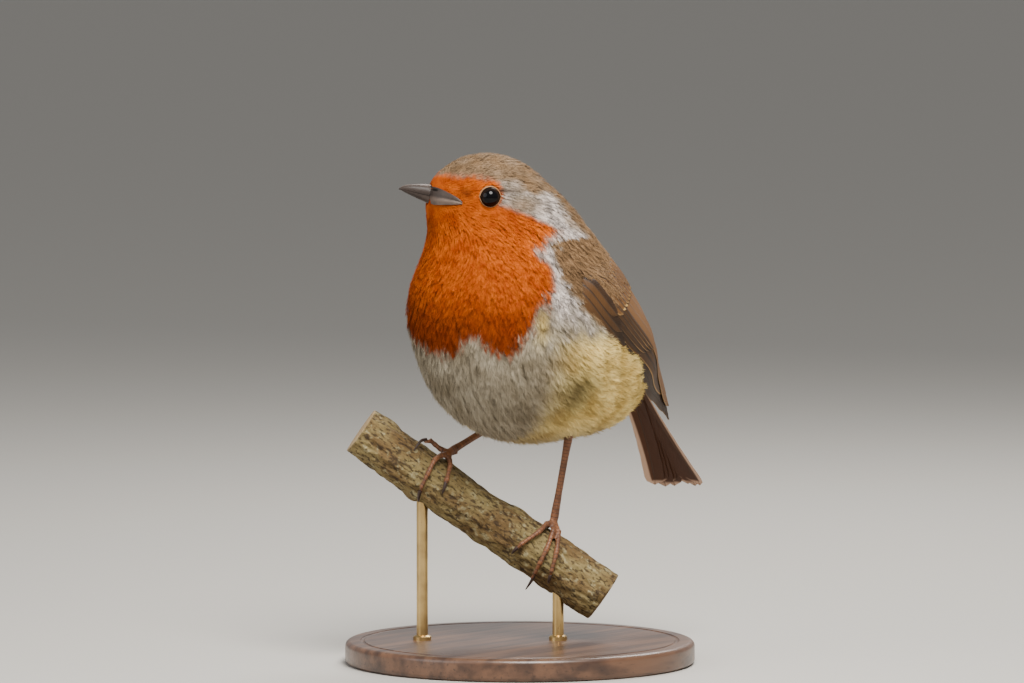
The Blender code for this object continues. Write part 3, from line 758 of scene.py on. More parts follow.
# ---- skin and coat
@dataclass
class Skin:
    """The one skin under the plumage, with its lie, markings and unwrap at every corner."""

    plumage: Plumage
    voxel: float = 0.5 * MM
    swelling: float = 0.3 * MM
    smoothing: int = 36
    obj: Optional[Piece] = None
    corners: Optional[Numbers] = None
    normals: Optional[Numbers] = None
    way: Optional[Numbers] = None
    sizes: Optional[Numbers] = None

    def build(self) -> None:
        """Fuses copies of the flesh nodes, smooths them and draws them in by the coat's depth."""
        bm = merged_copy(("head", "neck", "trunk", "eye_left", "eye_right"))
        swell(bm, self.swelling)
        for place, radius in (((13.6, 0, 0.2), 3.1), ((12.0, 0, -1.5), 4.0)):
            spot = Matrix.Translation(STANCE.on_head(*place))
            bmesh.ops.create_icosphere(bm, subdivisions=3, radius=radius * MM, matrix=spot)
        self.obj = cast("robin_skin", bm, self.voxel)
        mesh = self.obj.data
        relax(mesh, self.smoothing)
        self.read()
        place_corners(mesh, corners_of(mesh) - self.normals * (self.sizes[:, 2:3] + self.swelling))
        relax(mesh, 4)
        self.read()
        self.unwrap()
        store_marks(mesh, self.plumage.marks(self.corners))
        dress(self.obj, FeatherFinish("skin_under_feathers", coat=False))
        stand_in(self.obj, "pale_feathers", "head", "neck", "trunk")

    def read(self) -> None:
        """Reads the corners back from the mesh, with the coat's lie at each."""
        mesh = self.obj.data
        self.corners, self.normals = corners_of(mesh), normals_of(mesh)
        self.way, self.sizes = self.plumage.lie(self.corners, self.normals)

    def unwrap(self) -> None:
        """Unwraps the skin onto the map that the coat's tufts share."""
        view = bpy.context.view_layer
        view.objects.active = self.obj
        self.obj.select_set(True)
        self.obj.data.uv_layers.new(name="OFBake")
        bpy.ops.object.mode_set(mode="EDIT")
        bpy.ops.mesh.select_all(action="SELECT")
        bpy.ops.uv.smart_project(angle_limit=math.radians(66), island_margin=0.004)
        bpy.ops.object.mode_set(mode="OBJECT")
        self.obj.select_set(False)


def store_marks(mesh: bpy.types.Mesh, marks: Numbers) -> None:
    """Stores the shares of orange, brown and grey, then those of buff and darkness, at every corner."""
    for name, rows in (("marks", marks[:, :3]), ("tones", marks[:, 3:])):
        store_colour(mesh, name, rows)


def store_colour(mesh: bpy.types.Mesh, name: str, rows: Numbers) -> None:
    """Stores up to three numbers at every corner as a colour."""
    four = np.ones((len(rows), 4), np.float32)
    four[:, : rows.shape[1]] = rows
    mesh.attributes.new(name, "FLOAT_COLOR", "POINT").data.foreach_set("color", four.ravel())


def store_value(mesh: bpy.types.Mesh, name: str, values: Numbers) -> None:
    """Stores a number at every corner of the mesh."""
    mesh.attributes.new(name, "FLOAT", "POINT").data.foreach_set("value", np.asarray(values, np.float32))


@dataclass(frozen=True)
class Cut:
    """The make of one kind of feather: its barbs, its slot, and sizes as shares of its length."""

    barbs: int
    slot: str
    bends: int = 2
    half_width: float = 0.20
    barb_width: float = 0.10 * MM
    loose: float = 0.3


class Tract(Enum):
    """The tracts of the coat, one piece each."""

    CROWN = "coat_crown"
    FACE = "coat_face"
    THROAT = "coat_throat"
    NAPE = "coat_nape"
    BREAST = "coat_breast"
    SIDES = "coat_sides"
    BELLY = "coat_belly"
    BACK = "coat_back"
    VENT = "coat_vent"


CUTS: dict[Tract, Cut] = {
    Tract.CROWN: Cut(30, "brown_feathers", barb_width=0.09 * MM, half_width=0.22),
    Tract.FACE: Cut(20, "orange_feathers", barb_width=0.09 * MM, half_width=0.24),
    Tract.THROAT: Cut(32, "orange_feathers", barb_width=0.09 * MM),
    Tract.NAPE: Cut(34, "brown_feathers"),
    Tract.BREAST: Cut(44, "orange_feathers"),
    Tract.SIDES: Cut(44, "pale_feathers", barb_width=0.11 * MM, half_width=0.17, loose=0.5),
    Tract.BELLY: Cut(46, "pale_feathers", barb_width=0.11 * MM, half_width=0.17, loose=0.4),
    Tract.BACK: Cut(46, "brown_feathers", barb_width=0.11 * MM),
    Tract.VENT: Cut(46, "pale_feathers", barb_width=0.11 * MM, half_width=0.17, loose=0.4),
}


@dataclass
class Bunch:
    """Feathers before they are grown: one row each."""

    roots: Numbers
    normals: Numbers
    ways: Numbers
    lengths: Numbers
    depths: Numbers
    spots: Numbers

    def pick(self, chosen: Numbers) -> "Bunch":
        """The chosen feathers only."""
        return Bunch(*(getattr(self, name)[chosen] for name in self.__dataclass_fields__))


@dataclass
class Coat:
    """The body plumage: barbed feathers set over the skin, a joined mesh for each tract."""

    skin: Skin
    plumage: Plumage
    seed: int = 11
    steps: int = 5
    tries: int = 220_000
    patch: float = 0.003
    surface_voxel: float = 0.7 * MM
    sinking: float = 1.1 * MM
    surface: Optional[BVHTree] = None
    inner: Optional[BVHTree] = None
    finish: Optional[FeatherFinish] = None

    def build(self) -> None:
        """Sets the feathers out and grows each tract."""
        self.surface = self.walking_surface()
        self.finish = FeatherFinish("soft_feathers", coat=True)
        bunch = self.set_out()
        tracts = self.tract_of(bunch.roots)
        for index, tract in enumerate(Tract):
            chosen = bunch.pick(tracts == index)
            LOG.info("%s: %d feathers", tract.value, len(chosen.roots))
            if len(chosen.roots):
                self.grow(tract.value, chosen, CUTS[tract])

    def walking_surface(self) -> BVHTree:
        """What the feathers lie along: the skin, run smoothly onto the outside of the wings."""
        bm = merged_copy(("wing_left", "wing_right"))
        bm.from_mesh(self.skin.obj.data)
        obj = cast("walking_surface", bm, self.surface_voxel)
        mesh = obj.data
        relax(mesh, 36)
        self.inner = BVHTree.FromObject(self.skin.obj, bpy.context.evaluated_depsgraph_get())
        corners = corners_of(mesh)
        proud = np.array([self.inner.find_nearest(Vector(corner))[3] for corner in corners])
        sunk = corners - normals_of(mesh) * np.clip(proud - 0.3 * MM, 0, self.sinking)[:, None]
        place_corners(mesh, sunk)
        relax(mesh, 6)
        faces = [face.vertices for face in mesh.polygons]
        tree = BVHTree.FromPolygons([vert.co for vert in mesh.vertices], faces)
        bpy.data.objects.remove(obj)
        return tree

    def set_out(self) -> Bunch:
        """Picks the feathers' roots, about one spacing apart, away from eyes, bill and covered skin."""
        mesh = self.skin.obj.data
        chance = np.random.default_rng(self.seed)
        mesh.calc_loop_triangles()
        count = len(mesh.loop_triangles)
        threes, loops = (read_rows(mesh.loop_triangles, name, 3, np.int32) for name in ("vertices", "loops"))
        flat = read_rows(mesh.uv_layers["OFBake"].data, "uv", 2, np.float32)
        a, b, c = (self.skin.corners[threes[:, k]] for k in range(3))
        area = np.linalg.norm(np.cross(b - a, c - a), axis=1)
        density = area / self.skin.sizes[threes[:, 0], 1] ** 2
        drawn = chance.choice(count, self.tries, p=density / density.sum())
        share = chance.dirichlet((1, 1, 1), self.tries)
        roots, normals, spots = (
            sum(values[ends[drawn, k]] * share[:, k : k + 1] for k in range(3))
            for values, ends in ((self.skin.corners, threes), (self.skin.normals, threes), (flat, loops))
        )
        normals = unit(normals)
        ways, sizes = self.skin.way[threes[drawn, 0]], self.skin.sizes[threes[drawn, 0]]
        open_skin = np.flatnonzero(self.is_open(roots, normals))
        rows = open_skin[spaced(roots[open_skin], sizes[open_skin, 1])]
        roots, normals = self.brought_out(roots[rows], normals[rows])
        return Bunch(roots, normals, ways[rows], sizes[rows, 0], sizes[rows, 2], spots[rows])

    def brought_out(self, roots: Numbers, normals: Numbers) -> tuple[Numbers, Numbers]:
        """The roots and normals, with those under a wing's edge brought out onto the wing."""
        roots, normals = roots.copy(), normals.copy()
        for index, (root, normal) in enumerate(zip(roots, normals)):
            spot, facing, _, off = self.surface.ray_cast(Vector(root), Vector(normal), 8 * MM)
            if spot is not None and off > 0.7 * MM and facing.dot(Vector(normal)) > 0.3:
                roots[index], normals[index] = spot - facing * 0.3 * MM, facing
        return roots, normals

    def is_open(self, roots: Numbers, normals: Numbers) -> Numbers:
        """Whether a feather may grow at each place: clear of the eyes and bill, and not under a wing."""
        free = np.ones(len(roots), bool)
        for side in ("left", "right"):
            low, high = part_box(f"eye_{side}")
            middle, radius = np.array((low + high) / 2), (high - low).z / 2
            free &= np.linalg.norm(roots - middle, axis=1) > radius + 0.25 * MM
        local = STANCE.head_frame(roots)
        bill = (local[:, 0] > 13) & (np.abs(local[:, 1]) < 2.9) & (np.abs(local[:, 2] + 0.3) < 2.6)
        middle, half = gape_band(local[:, 0])
        free &= ~bill & ((np.abs(local[:, 2] - middle) > 0.6 * half) | (local[:, 0] < 10.8))
        wings = bmesh.new()
        for name in ("wing_left", "wing_right"):
            wings.from_mesh(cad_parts[name].data)
        cover = BVHTree.FromBMesh(wings)
        wings.free()
        for index in np.flatnonzero(free):
            hit = cover.ray_cast(Vector(roots[index]), Vector(normals[index]), 7 * MM)
            if hit[0] is not None:
                free[index] = any(
                    cover.ray_cast(Vector(roots[index] + step), Vector(normals[index]), 8 * MM)[0] is None
                    for step in self.side_steps(roots[index], normals[index])
                )
        return free

    @staticmethod
    def side_steps(root: Numbers, normal: Numbers) -> list[Numbers]:
        """Short steps over the skin: forward and down from the shoulder, and in towards the spine."""
        shoulder = np.array((0.0, -1.0, -0.7)) * 4.2 * smooth_step(root[2] / MM, 93, 99)
        spine = np.array((-math.copysign(1.0, root[0]), 0.0, 0.4)) * 3.5 * smooth_step(root[1] / MM, 0, 12)
        spine *= smooth_step(root[2] / MM, 72, 80)
        return [(step - normal * (step @ normal)) * MM for step in (shoulder, spine)]

    def tract_of(self, roots: Numbers) -> Numbers:
        """The number of each root's tract, in the order of the tracts."""
        chart = self.plumage.chart(roots)
        turn, height = np.abs(chart[:, 0]), chart[:, 1]
        order = {tract: index for index, tract in enumerate(Tract)}
        tracts = np.full(len(roots), order[Tract.BELLY])
        for tract, where in (
            (Tract.VENT, (height < 74) & (roots[:, 1] > 10 * MM)),
            (Tract.SIDES, (height < 92) & (height >= 70) & (turn > 62)),
            (Tract.BACK, (height >= 92) & (turn > 100)),
            (Tract.BREAST, (height >= 78) & (turn <= 62)),
            (Tract.BREAST, (height >= 92) & (turn <= 100)),
            (Tract.THROAT, (height >= 104) & (turn <= 100)),
            (Tract.NAPE, (height >= 104) & (turn > 100)),
            (Tract.FACE, (height >= 118.5) & (turn <= 96)),
            (Tract.CROWN, ((height >= 126) & (turn > 40)) | (height >= 131)),
        ):
            tracts[where] = order[tract]
        return tracts

    def march(
        self, bunch: Bunch, turns: Numbers, sheet: Optional[BVHTree]
    ) -> tuple[Numbers, Numbers, Numbers]:
        """Walks each feather's shaft over the surface.

        Args:
            bunch: the feathers.
            turns: how far each is turned from the lie, in radians.
            sheet: another surface to walk straight over, or None for the body's.

        Returns:
            Places, normals and onward directions at the steps of each shaft.
        """
        places, normals = [bunch.roots], [bunch.normals]
        side = np.cross(bunch.normals, bunch.ways)
        way = bunch.ways * np.cos(turns)[:, None] + side * np.sin(turns)[:, None]
        ways = [way]
        stride = (bunch.lengths * 1.2 / self.steps)[:, None]
        climb = np.where(bunch.roots[:, 2] > 95 * MM, 1.2 * MM, 0.6 * MM)
        high = np.array([self.inner.find_nearest(Vector(root))[3] for root in bunch.roots]) + climb
        for _ in range(self.steps):
            ahead = places[-1] + way * stride + normals[-1] * 1.5 * MM
            found = [self.foothold(Vector(spot), limit, sheet) for spot, limit in zip(ahead, high)]
            spot, normal = (np.array([line[part] for line in found]) for part in (0, 1))
            high = np.array([line[2] for line in found]) + climb
            lie = self.plumage.lie(spot, normal)[0] if sheet is None else bunch.ways
            blended = unit(0.75 * normals[-1] + 0.45 * normal)
            way = way + 0.35 * (lie - way)
            way = unit(way - blended * (way * blended).sum(axis=1, keepdims=True))
            places.append(spot)
            normals.append(blended)
            ways.append(way)
        return np.stack(places, 1), np.stack(normals, 1), np.stack(ways, 1)

    def foothold(
        self, ahead: Vector, limit: float, sheet: Optional[BVHTree]
    ) -> tuple[Vector, Vector, float]:
        """The next step of a shaft: on the surface if that is no higher than the limit, or on the skin.

        Args:
            ahead: where the step would end in the air.
            limit: the greatest height over the skin.
            sheet: another surface to keep to, or None.

        Returns:
            The place, its normal and its height over the skin.
        """
        if sheet is not None:
            return (*sheet.find_nearest(ahead)[:2], 0.0)
        spot, normal = self.surface.find_nearest(ahead)[:2]
        height = self.inner.find_nearest(spot)[3]
        if height > limit:
            return (*self.inner.find_nearest(ahead)[:2], 0.0)
        return spot, normal, height

    def grow(
        self,
        name: str,
        bunch: Bunch,
        cut: Cut,
        marks: Optional[Numbers] = None,
        sheet: Optional[BVHTree] = None,
    ) -> None:
        """Grows the feathers of a tract as one piece.

        Args:
            name: the piece's name.
            bunch: its feathers.
            cut: their make.
            marks: their markings, or None for those of the plumage.
            sheet: the surface that they lie on, or None for the body's.
        """
        chance = np.random.default_rng(len(bunch.roots) + 7)
        count = len(bunch.roots)
        turns = chance.normal(0, 0.09, count) + 0.13 * ripple(bunch.roots, 9 * MM, 21)
        lengths = bunch.lengths * chance.uniform(0.8, 1.15, count)
        bunch = Bunch(bunch.roots, bunch.normals, bunch.ways, lengths, bunch.depths, bunch.spots)
        places, normals, ways = self.march(bunch, turns, sheet)
        heart = places[:, int(self.steps * 0.6)]
        own = chance.uniform(0, 1, count)
        rise = bunch.depths * chance.uniform(0.9, 1.05, count)
        rise *= 1 + 0.06 * ripple(bunch.roots, 6 * MM, 9)

        rows = np.repeat(np.arange(count), cut.barbs)
        number = np.tile(np.arange(cut.barbs), count)
        start = 0.08 + 0.90 * (number + chance.uniform(0, 1, len(rows))) / cut.barbs
        sign = np.where(number % 2 == 0, 1.0, -1.0)
        strand = chance.uniform(0, 1, len(rows))
        rounding = np.sqrt(np.maximum(1 - start**2.4, 0.0)) * np.minimum(1, 0.5 + start * 1.6)
        aside = sign * cut.half_width * rounding * chance.uniform(0.5, 1.2, len(rows))
        reach = (0.19 + 0.26 * (1 - start)) * chance.uniform(0.75, 1.3, len(rows))
        loose = chance.normal(0, cut.loose, len(rows))

        levels = np.linspace(0, 1, cut.bends + 1)
        corners, along_all = [], []
        for level in levels:
            along = start + reach * level
            across = aside * level ** (0.75 + 0.25 * level)
            spot, normal, way = self.on_shaft(places, normals, ways, rows, along)
            side = np.cross(normal, way)
            size = lengths[rows]
            height = rise[rows] * (0.06 + 0.94 * np.minimum(along, 1.1) ** 0.9) * (1 + loose * 0.35 * level)
            height += 0.10 * rise[rows] * np.sin(2.4 * (1 - np.abs(across / cut.half_width)))
            middle = spot + side * (across * size)[:, None] + normal * height[:, None]
            if level < 1:
                ahead = unit(way * reach[:, None] + side * aside[:, None])
                roll = (strand - 0.5) * 0.9
                broad = np.cross(normal, ahead) * np.cos(roll)[:, None] + normal * np.sin(roll)[:, None]
                half = 0.5 * cut.barb_width * (1 - 0.45 * level)
                half = (half * np.sqrt(size / (6 * MM)).clip(0.7, 1.3))[:, None]
                corners += [middle - broad * half, middle + broad * half]
                along_all += [along, along]
            else:
                corners.append(middle)
                along_all.append(along)
        per = len(corners)
        points = np.stack(corners, 1).reshape(-1, 3)
        along = np.stack(along_all, 1).reshape(-1)
        base = np.arange(len(rows))[:, None, None] * per
        faces = []
        for step in range(cut.bends - 1):
            a = 2 * step
            faces += [(a, a + 1, a + 3), (a, a + 3, a + 2)]
        faces.append((per - 3, per - 2, per - 1))
        threes = (np.array(faces)[None] + base).reshape(-1, 3)
        owner, strand = np.repeat(rows, per), np.repeat(strand, per)
        mesh = mesh_of_threes(name, points, threes)
        if marks is None:
            marks = np.repeat(self.plumage.marks(0.5 * (heart[rows] + corners[2])), per, axis=0)
        else:
            marks = marks[owner]
        store_marks(mesh, marks)
        store_colour(mesh, "strand", np.stack([np.clip(along, 0, 1), own[owner], strand], 1))
        spread = np.stack([along - 0.5, strand - 0.5], 1) * self.patch
        lay_flat(mesh, threes, bunch.spots[owner] + spread)
        stand_in(dress(placed(name, mesh), self.finish), cut.slot)

    def on_shaft(
        self, places: Numbers, normals: Numbers, ways: Numbers, rows: Numbers, along: Numbers
    ) -> tuple[Numbers, Numbers, Numbers]:
        """Place, normal and direction at a share of the length of each row's shaft."""
        position = np.clip(along / 1.2, 0, 1) * self.steps
        low = np.minimum(position.astype(int), self.steps - 1)
        part = (position - low)[:, None]
        lines = (places, normals, ways)
        found = [line[rows, low] * (1 - part) + line[rows, low + 1] * part for line in lines]
        normal = unit(found[1])
        way = unit(found[2] - normal * (found[2] * normal).sum(axis=1, keepdims=True))
        return found[0], normal, way


def mesh_of_threes(name: str, points: Numbers, threes: Numbers) -> bpy.types.Mesh:
    """A mesh of triangles from arrays of corners and of threes of corner numbers."""
    mesh = bpy.data.meshes.new(name)
    mesh.vertices.add(len(points))
    mesh.vertices.foreach_set("co", points.astype(np.float32).ravel())
    mesh.loops.add(threes.size)
    mesh.loops.foreach_set("vertex_index", threes.astype(np.int32).ravel())
    mesh.polygons.add(len(threes))
    mesh.polygons.foreach_set("loop_start", np.arange(0, threes.size, 3, dtype=np.int32))
    mesh.update(calc_edges=True)
    mesh.shade_smooth()
    return mesh


def lay_flat(mesh: bpy.types.Mesh, threes: Numbers, spots: Numbers) -> None:
    """Gives the mesh its bake map, with each corner at its spot."""
    layer = mesh.uv_layers.new(name="OFBake")
    layer.data.foreach_set("uv", np.clip(spots[threes.ravel()], 0, 1).astype(np.float32).ravel())


# ---- vanes of the wings and tail
@dataclass(frozen=True)
class Vane:
    """A flight feather or large covert on a web: shares along and across it, and sizes in millimetres."""

    root: tuple[float, float]
    tip: tuple[float, float]
    low_side: float
    high_side: float
    lift: float
    bow: float = 0.0
    point: float = 0.35
    pale: float = 0.5
    spot: float = 0.0
    tone: float = 1.0
    flip: float = 1.0


def shares(along: tuple[float, float, int], across: tuple[float, float, int]) -> list[Numbers]:
    """Shares along and across a sheet, as grids of even steps from first to last."""
    return np.meshgrid(np.linspace(*along), np.linspace(*across), indexing="ij")


class Web:
    """A smooth sheet that vanes lie on, with places at shares along and across it."""

    def __init__(self, grid: Numbers, outward: Numbers, droop: float = 0.0) -> None:
        """Takes the sheet's places in rows along it.

        Args:
            grid: places, by steps along, steps across and axis.
            outward: the side that the normals turn to.
            droop: how far vanes sink towards the far edge of the sheet's nearer half, in millimetres.
        """
        self.grid, self.droop = grid, droop
        along, across = np.gradient(grid, axis=0), np.gradient(grid, axis=1)
        normal = unit(np.cross(along, across))
        if (normal * outward).sum() < 0:
            normal = -normal
        self.normal = normal
        steps = np.linalg.norm(np.diff(grid, axis=1), axis=2).sum(axis=1)
        self.spans = np.maximum(steps, 1 * MM)
        self.length = float(np.linalg.norm(np.diff(grid[:, grid.shape[1] // 2], axis=0), axis=1).sum())

    def pick(self, values: Numbers, along: Numbers, across: Numbers) -> Numbers:
        """The grid's values at shares along and across, evenly blended."""
        rows, columns = self.grid.shape[0] - 1, self.grid.shape[1] - 1
        a, c = np.clip(along, 0, 1) * rows, np.clip(across, 0, 1) * columns
        i, j = np.minimum(a.astype(int), rows - 1), np.minimum(c.astype(int), columns - 1)
        u, v = (a - i)[..., None], (c - j)[..., None]
        low = values[i, j] * (1 - v) + values[i, j + 1] * v
        high = values[i + 1, j] * (1 - v) + values[i + 1, j + 1] * v
        return low * (1 - u) + high * u

    def at(self, along: Numbers, across: Numbers, lift: Any = 0.0) -> Numbers:
        """Places on the sheet, raised off it by the lift in metres; past an edge it runs on straight."""
        inner = self.pick(self.grid, along, across)
        normal = unit(self.pick(self.normal, along, across))
        place = inner + normal * np.asarray(lift)[..., None]
        over = across - np.clip(across, 0, 1)
        at_share = (self.pick(self.grid, along, np.full_like(across, k)) for k in (0.98, 0.90, 0.10, 0.02))
        flank, flank_in, back_in, back = at_share
        place += np.where(over[..., None] > 0, flank - flank_in, back_in - back) * (over / 0.08)[..., None]
        beyond = along - np.clip(along, 0, 1)
        end, before = (self.pick(self.grid, np.full_like(along, k), across) for k in (1.0, 0.95))
        return place + (end - before) * (beyond / 0.05)[..., None]

    def span(self, along: Numbers) -> Numbers:
        """The sheet's width at shares along it, in metres."""
        return np.interp(along, np.linspace(0, 1, len(self.spans)), self.spans)

    def bunch(self, along: Numbers, across: Numbers, lengths: Any, depths: Any) -> Bunch:
        """Barbed feathers rooted on the sheet and lying along it."""
        roots = self.at(along, across)
        ways = unit(self.at(along + 0.02, across) - roots)
        normals = unit(self.pick(self.normal, along, across))
        ways = unit(ways - normals * (ways * normals).sum(axis=1, keepdims=True))
        spots = np.stack([along, across], 1) * 0.96 + 0.02
        ones = np.ones(len(along))
        return Bunch(roots, normals, ways, lengths * ones, depths * ones, spots)

    def grow(self, name: str, vanes: Sequence[Vane], finish: Finish) -> Piece:
        """Grows the vanes as one mesh of thin closed blades.

        Args:
            name: the piece's name.
            vanes: the feathers, one after another.
            finish: their finish.

        Returns:
            The object, at the origin.
        """
        steps, bands, thickness = 26, 8, 0.10
        side = math.ceil(math.sqrt(len(vanes)))
        points, threes, uvs, traits, marks = [], [], [], [], []
        t, s = shares((0, 1, steps), (-1, 1, bands + 1))
        for index, vane in enumerate(vanes):
            run = t**0.9
            along = vane.root[0] + (vane.tip[0] - vane.root[0]) * run
            middle = vane.root[1] + (vane.tip[1] - vane.root[1]) * run + vane.bow * np.sin(math.pi * run)
            long = (vane.tip[0] - vane.root[0]) * self.length / MM
            wide = np.where(s < 0, vane.low_side, vane.high_side)
            blunt = np.clip((run - (1 - vane.point)) / vane.point, 0, 1)
            outline = np.minimum(1.0, 0.35 + run * 5) * np.sqrt(np.maximum(1 - blunt**2.2, 0.0))
            ragged = 1 + 0.02 * np.sin(run * long * 5.0 + index) * (np.abs(s) > 0.9)
            off = s * wide * outline * ragged
            across = middle + off * MM / self.span(along)
            lift = vane.lift - 0.16 * s**2 + 0.10 * np.exp(-((s * wide / 0.25) ** 2))
            lift -= 1.3 * np.clip(1 - run * long / 3.0, 0, 1) ** 2
            lift -= self.droop * np.clip((across - 0.88) / 0.12, 0, 1.5) * (1 - smooth_step(along, 0.45, 0.7))
            half = thickness / 2 * (1 - 0.7 * s**2)
            for face in (1, -1):
                points.append(self.at(along, across, (lift + face * half) * MM).reshape(-1, 3))
                trait = np.stack([run, s * vane.flip * 0.5 + 0.5, np.full_like(run, vane.tone)], -1)
                traits.append(trait.reshape(-1, 3))
                mark = (run * long, np.abs(off), np.full_like(run, vane.pale), np.full_like(run, vane.spot))
                marks.append(np.stack(mark, -1).reshape(-1, 4))
                cell = np.array((index % side, index // side)) / side
                page = 0.01 if face > 0 else 0.51
                spot = np.stack([run * 0.94 + 0.03, (s * 0.46 + 0.5) * 0.48 + page], -1)
                uvs.append((spot / side + cell).reshape(-1, 2))
            threes.append(blade_faces(steps, bands + 1) + index * 2 * steps * (bands + 1))
        points, threes = np.concatenate(points), np.concatenate(threes)
        mesh = mesh_of_threes(name, points, threes)
        store_colour(mesh, "vane", np.concatenate(traits))
        store_colour(mesh, "web", np.concatenate(marks)[:, :3])
        store_value(mesh, "spot", np.concatenate(marks)[:, 3])
        lay_flat(mesh, threes, np.concatenate(uvs))
        mesh.set_sharp_from_angle(angle=math.radians(60))
        return dress(placed(name, mesh), finish)


def cells_of(number: Numbers) -> Numbers:
    """The four corner numbers of each cell of a grid of numbers, one row each."""
    cells = (number[:-1, :-1], number[1:, :-1], number[1:, 1:], number[:-1, 1:])
    return np.stack(cells, -1).reshape(-1, 4)


def blade_faces(rows: int, columns: int) -> Numbers:
    """Triangles of a closed blade: two sheets of rows by columns, joined round the rim."""
    number = np.arange(rows * columns).reshape(rows, columns)
    a, b, c, d = cells_of(number).T
    top = np.concatenate([np.stack([a, b, c], 1), np.stack([a, c, d], 1)])
    below = top[:, ::-1] + rows * columns
    rim = np.concatenate([number[0, :], number[1:, -1], number[-1, -2::-1], number[-2:0:-1, 0]])
    after = np.roll(rim, -1)
    shift = rows * columns
    wall = [np.stack([rim, after, after + shift], 1), np.stack([rim, after + shift, rim + shift], 1)]
    return np.concatenate([top, below, *wall])


class VaneFinish(Finish):
    """Flight feathers: a dark web with fine barbs, a shaft and a paler outer edge."""

    def __init__(self, name: str, dark: Colour, mid: Colour, edge: Colour, tip_depth: float) -> None:
        """Mixes the web's colours.

        Args:
            name: the material's name.
            dark: the inner web.
            mid: the outer web.
            edge: the pale edge.
            tip_depth: the share of a vane's length that its pale tip takes up.
        """
        super().__init__(name, Specular_IOR_Level=0.25)
        along, across, tone = (self.attribute("vane", channel) for channel in range(3))
        run, off, pale = (self.attribute("web", channel) for channel in range(3))
        outer = across.ramp(0.45, 0.60)
        web = self.mix((outer * tone).maths("MAXIMUM", tone - 0.75), dark, mid)
        cloud = self.noise(4 * MM, 3.0).ramp(0.3, 0.7)
        web = self.mix(cloud * tone * 0.35, web, mid)
        rim = (across + pale * along * 0.17).ramp(0.95, 1.07) * pale.maths("MINIMUM", 1.0)
        tip = along.ramp(1.0 - tip_depth, 1.0 - 0.4 * tip_depth) * pale.ramp(0.0, 0.5)
        colour = self.mix(rim.maths("MAXIMUM", tip), web, edge)
        spot = self.attribute("spot") * along.ramp(0.86, 0.95) * across.ramp(0.35, 0.6)
        colour = self.mix(spot, colour, (0.72, 0.45, 0.16))
        shaft = off.ramp(0.22, 0.08)
        colour = self.mix(shaft * 0.6, colour, (0.05, 0.033, 0.022))
        slant = run * 1.0 + off * -1.1
        barbs = (slant * 9.0).maths("SINE") * 0.5 + 0.5
        colour = self.shade(colour, barbs * 0.12 + 0.92)
        height = barbs * 0.5 + shaft
        self.paint(colour, 0.58, height, 0.05 * MM)


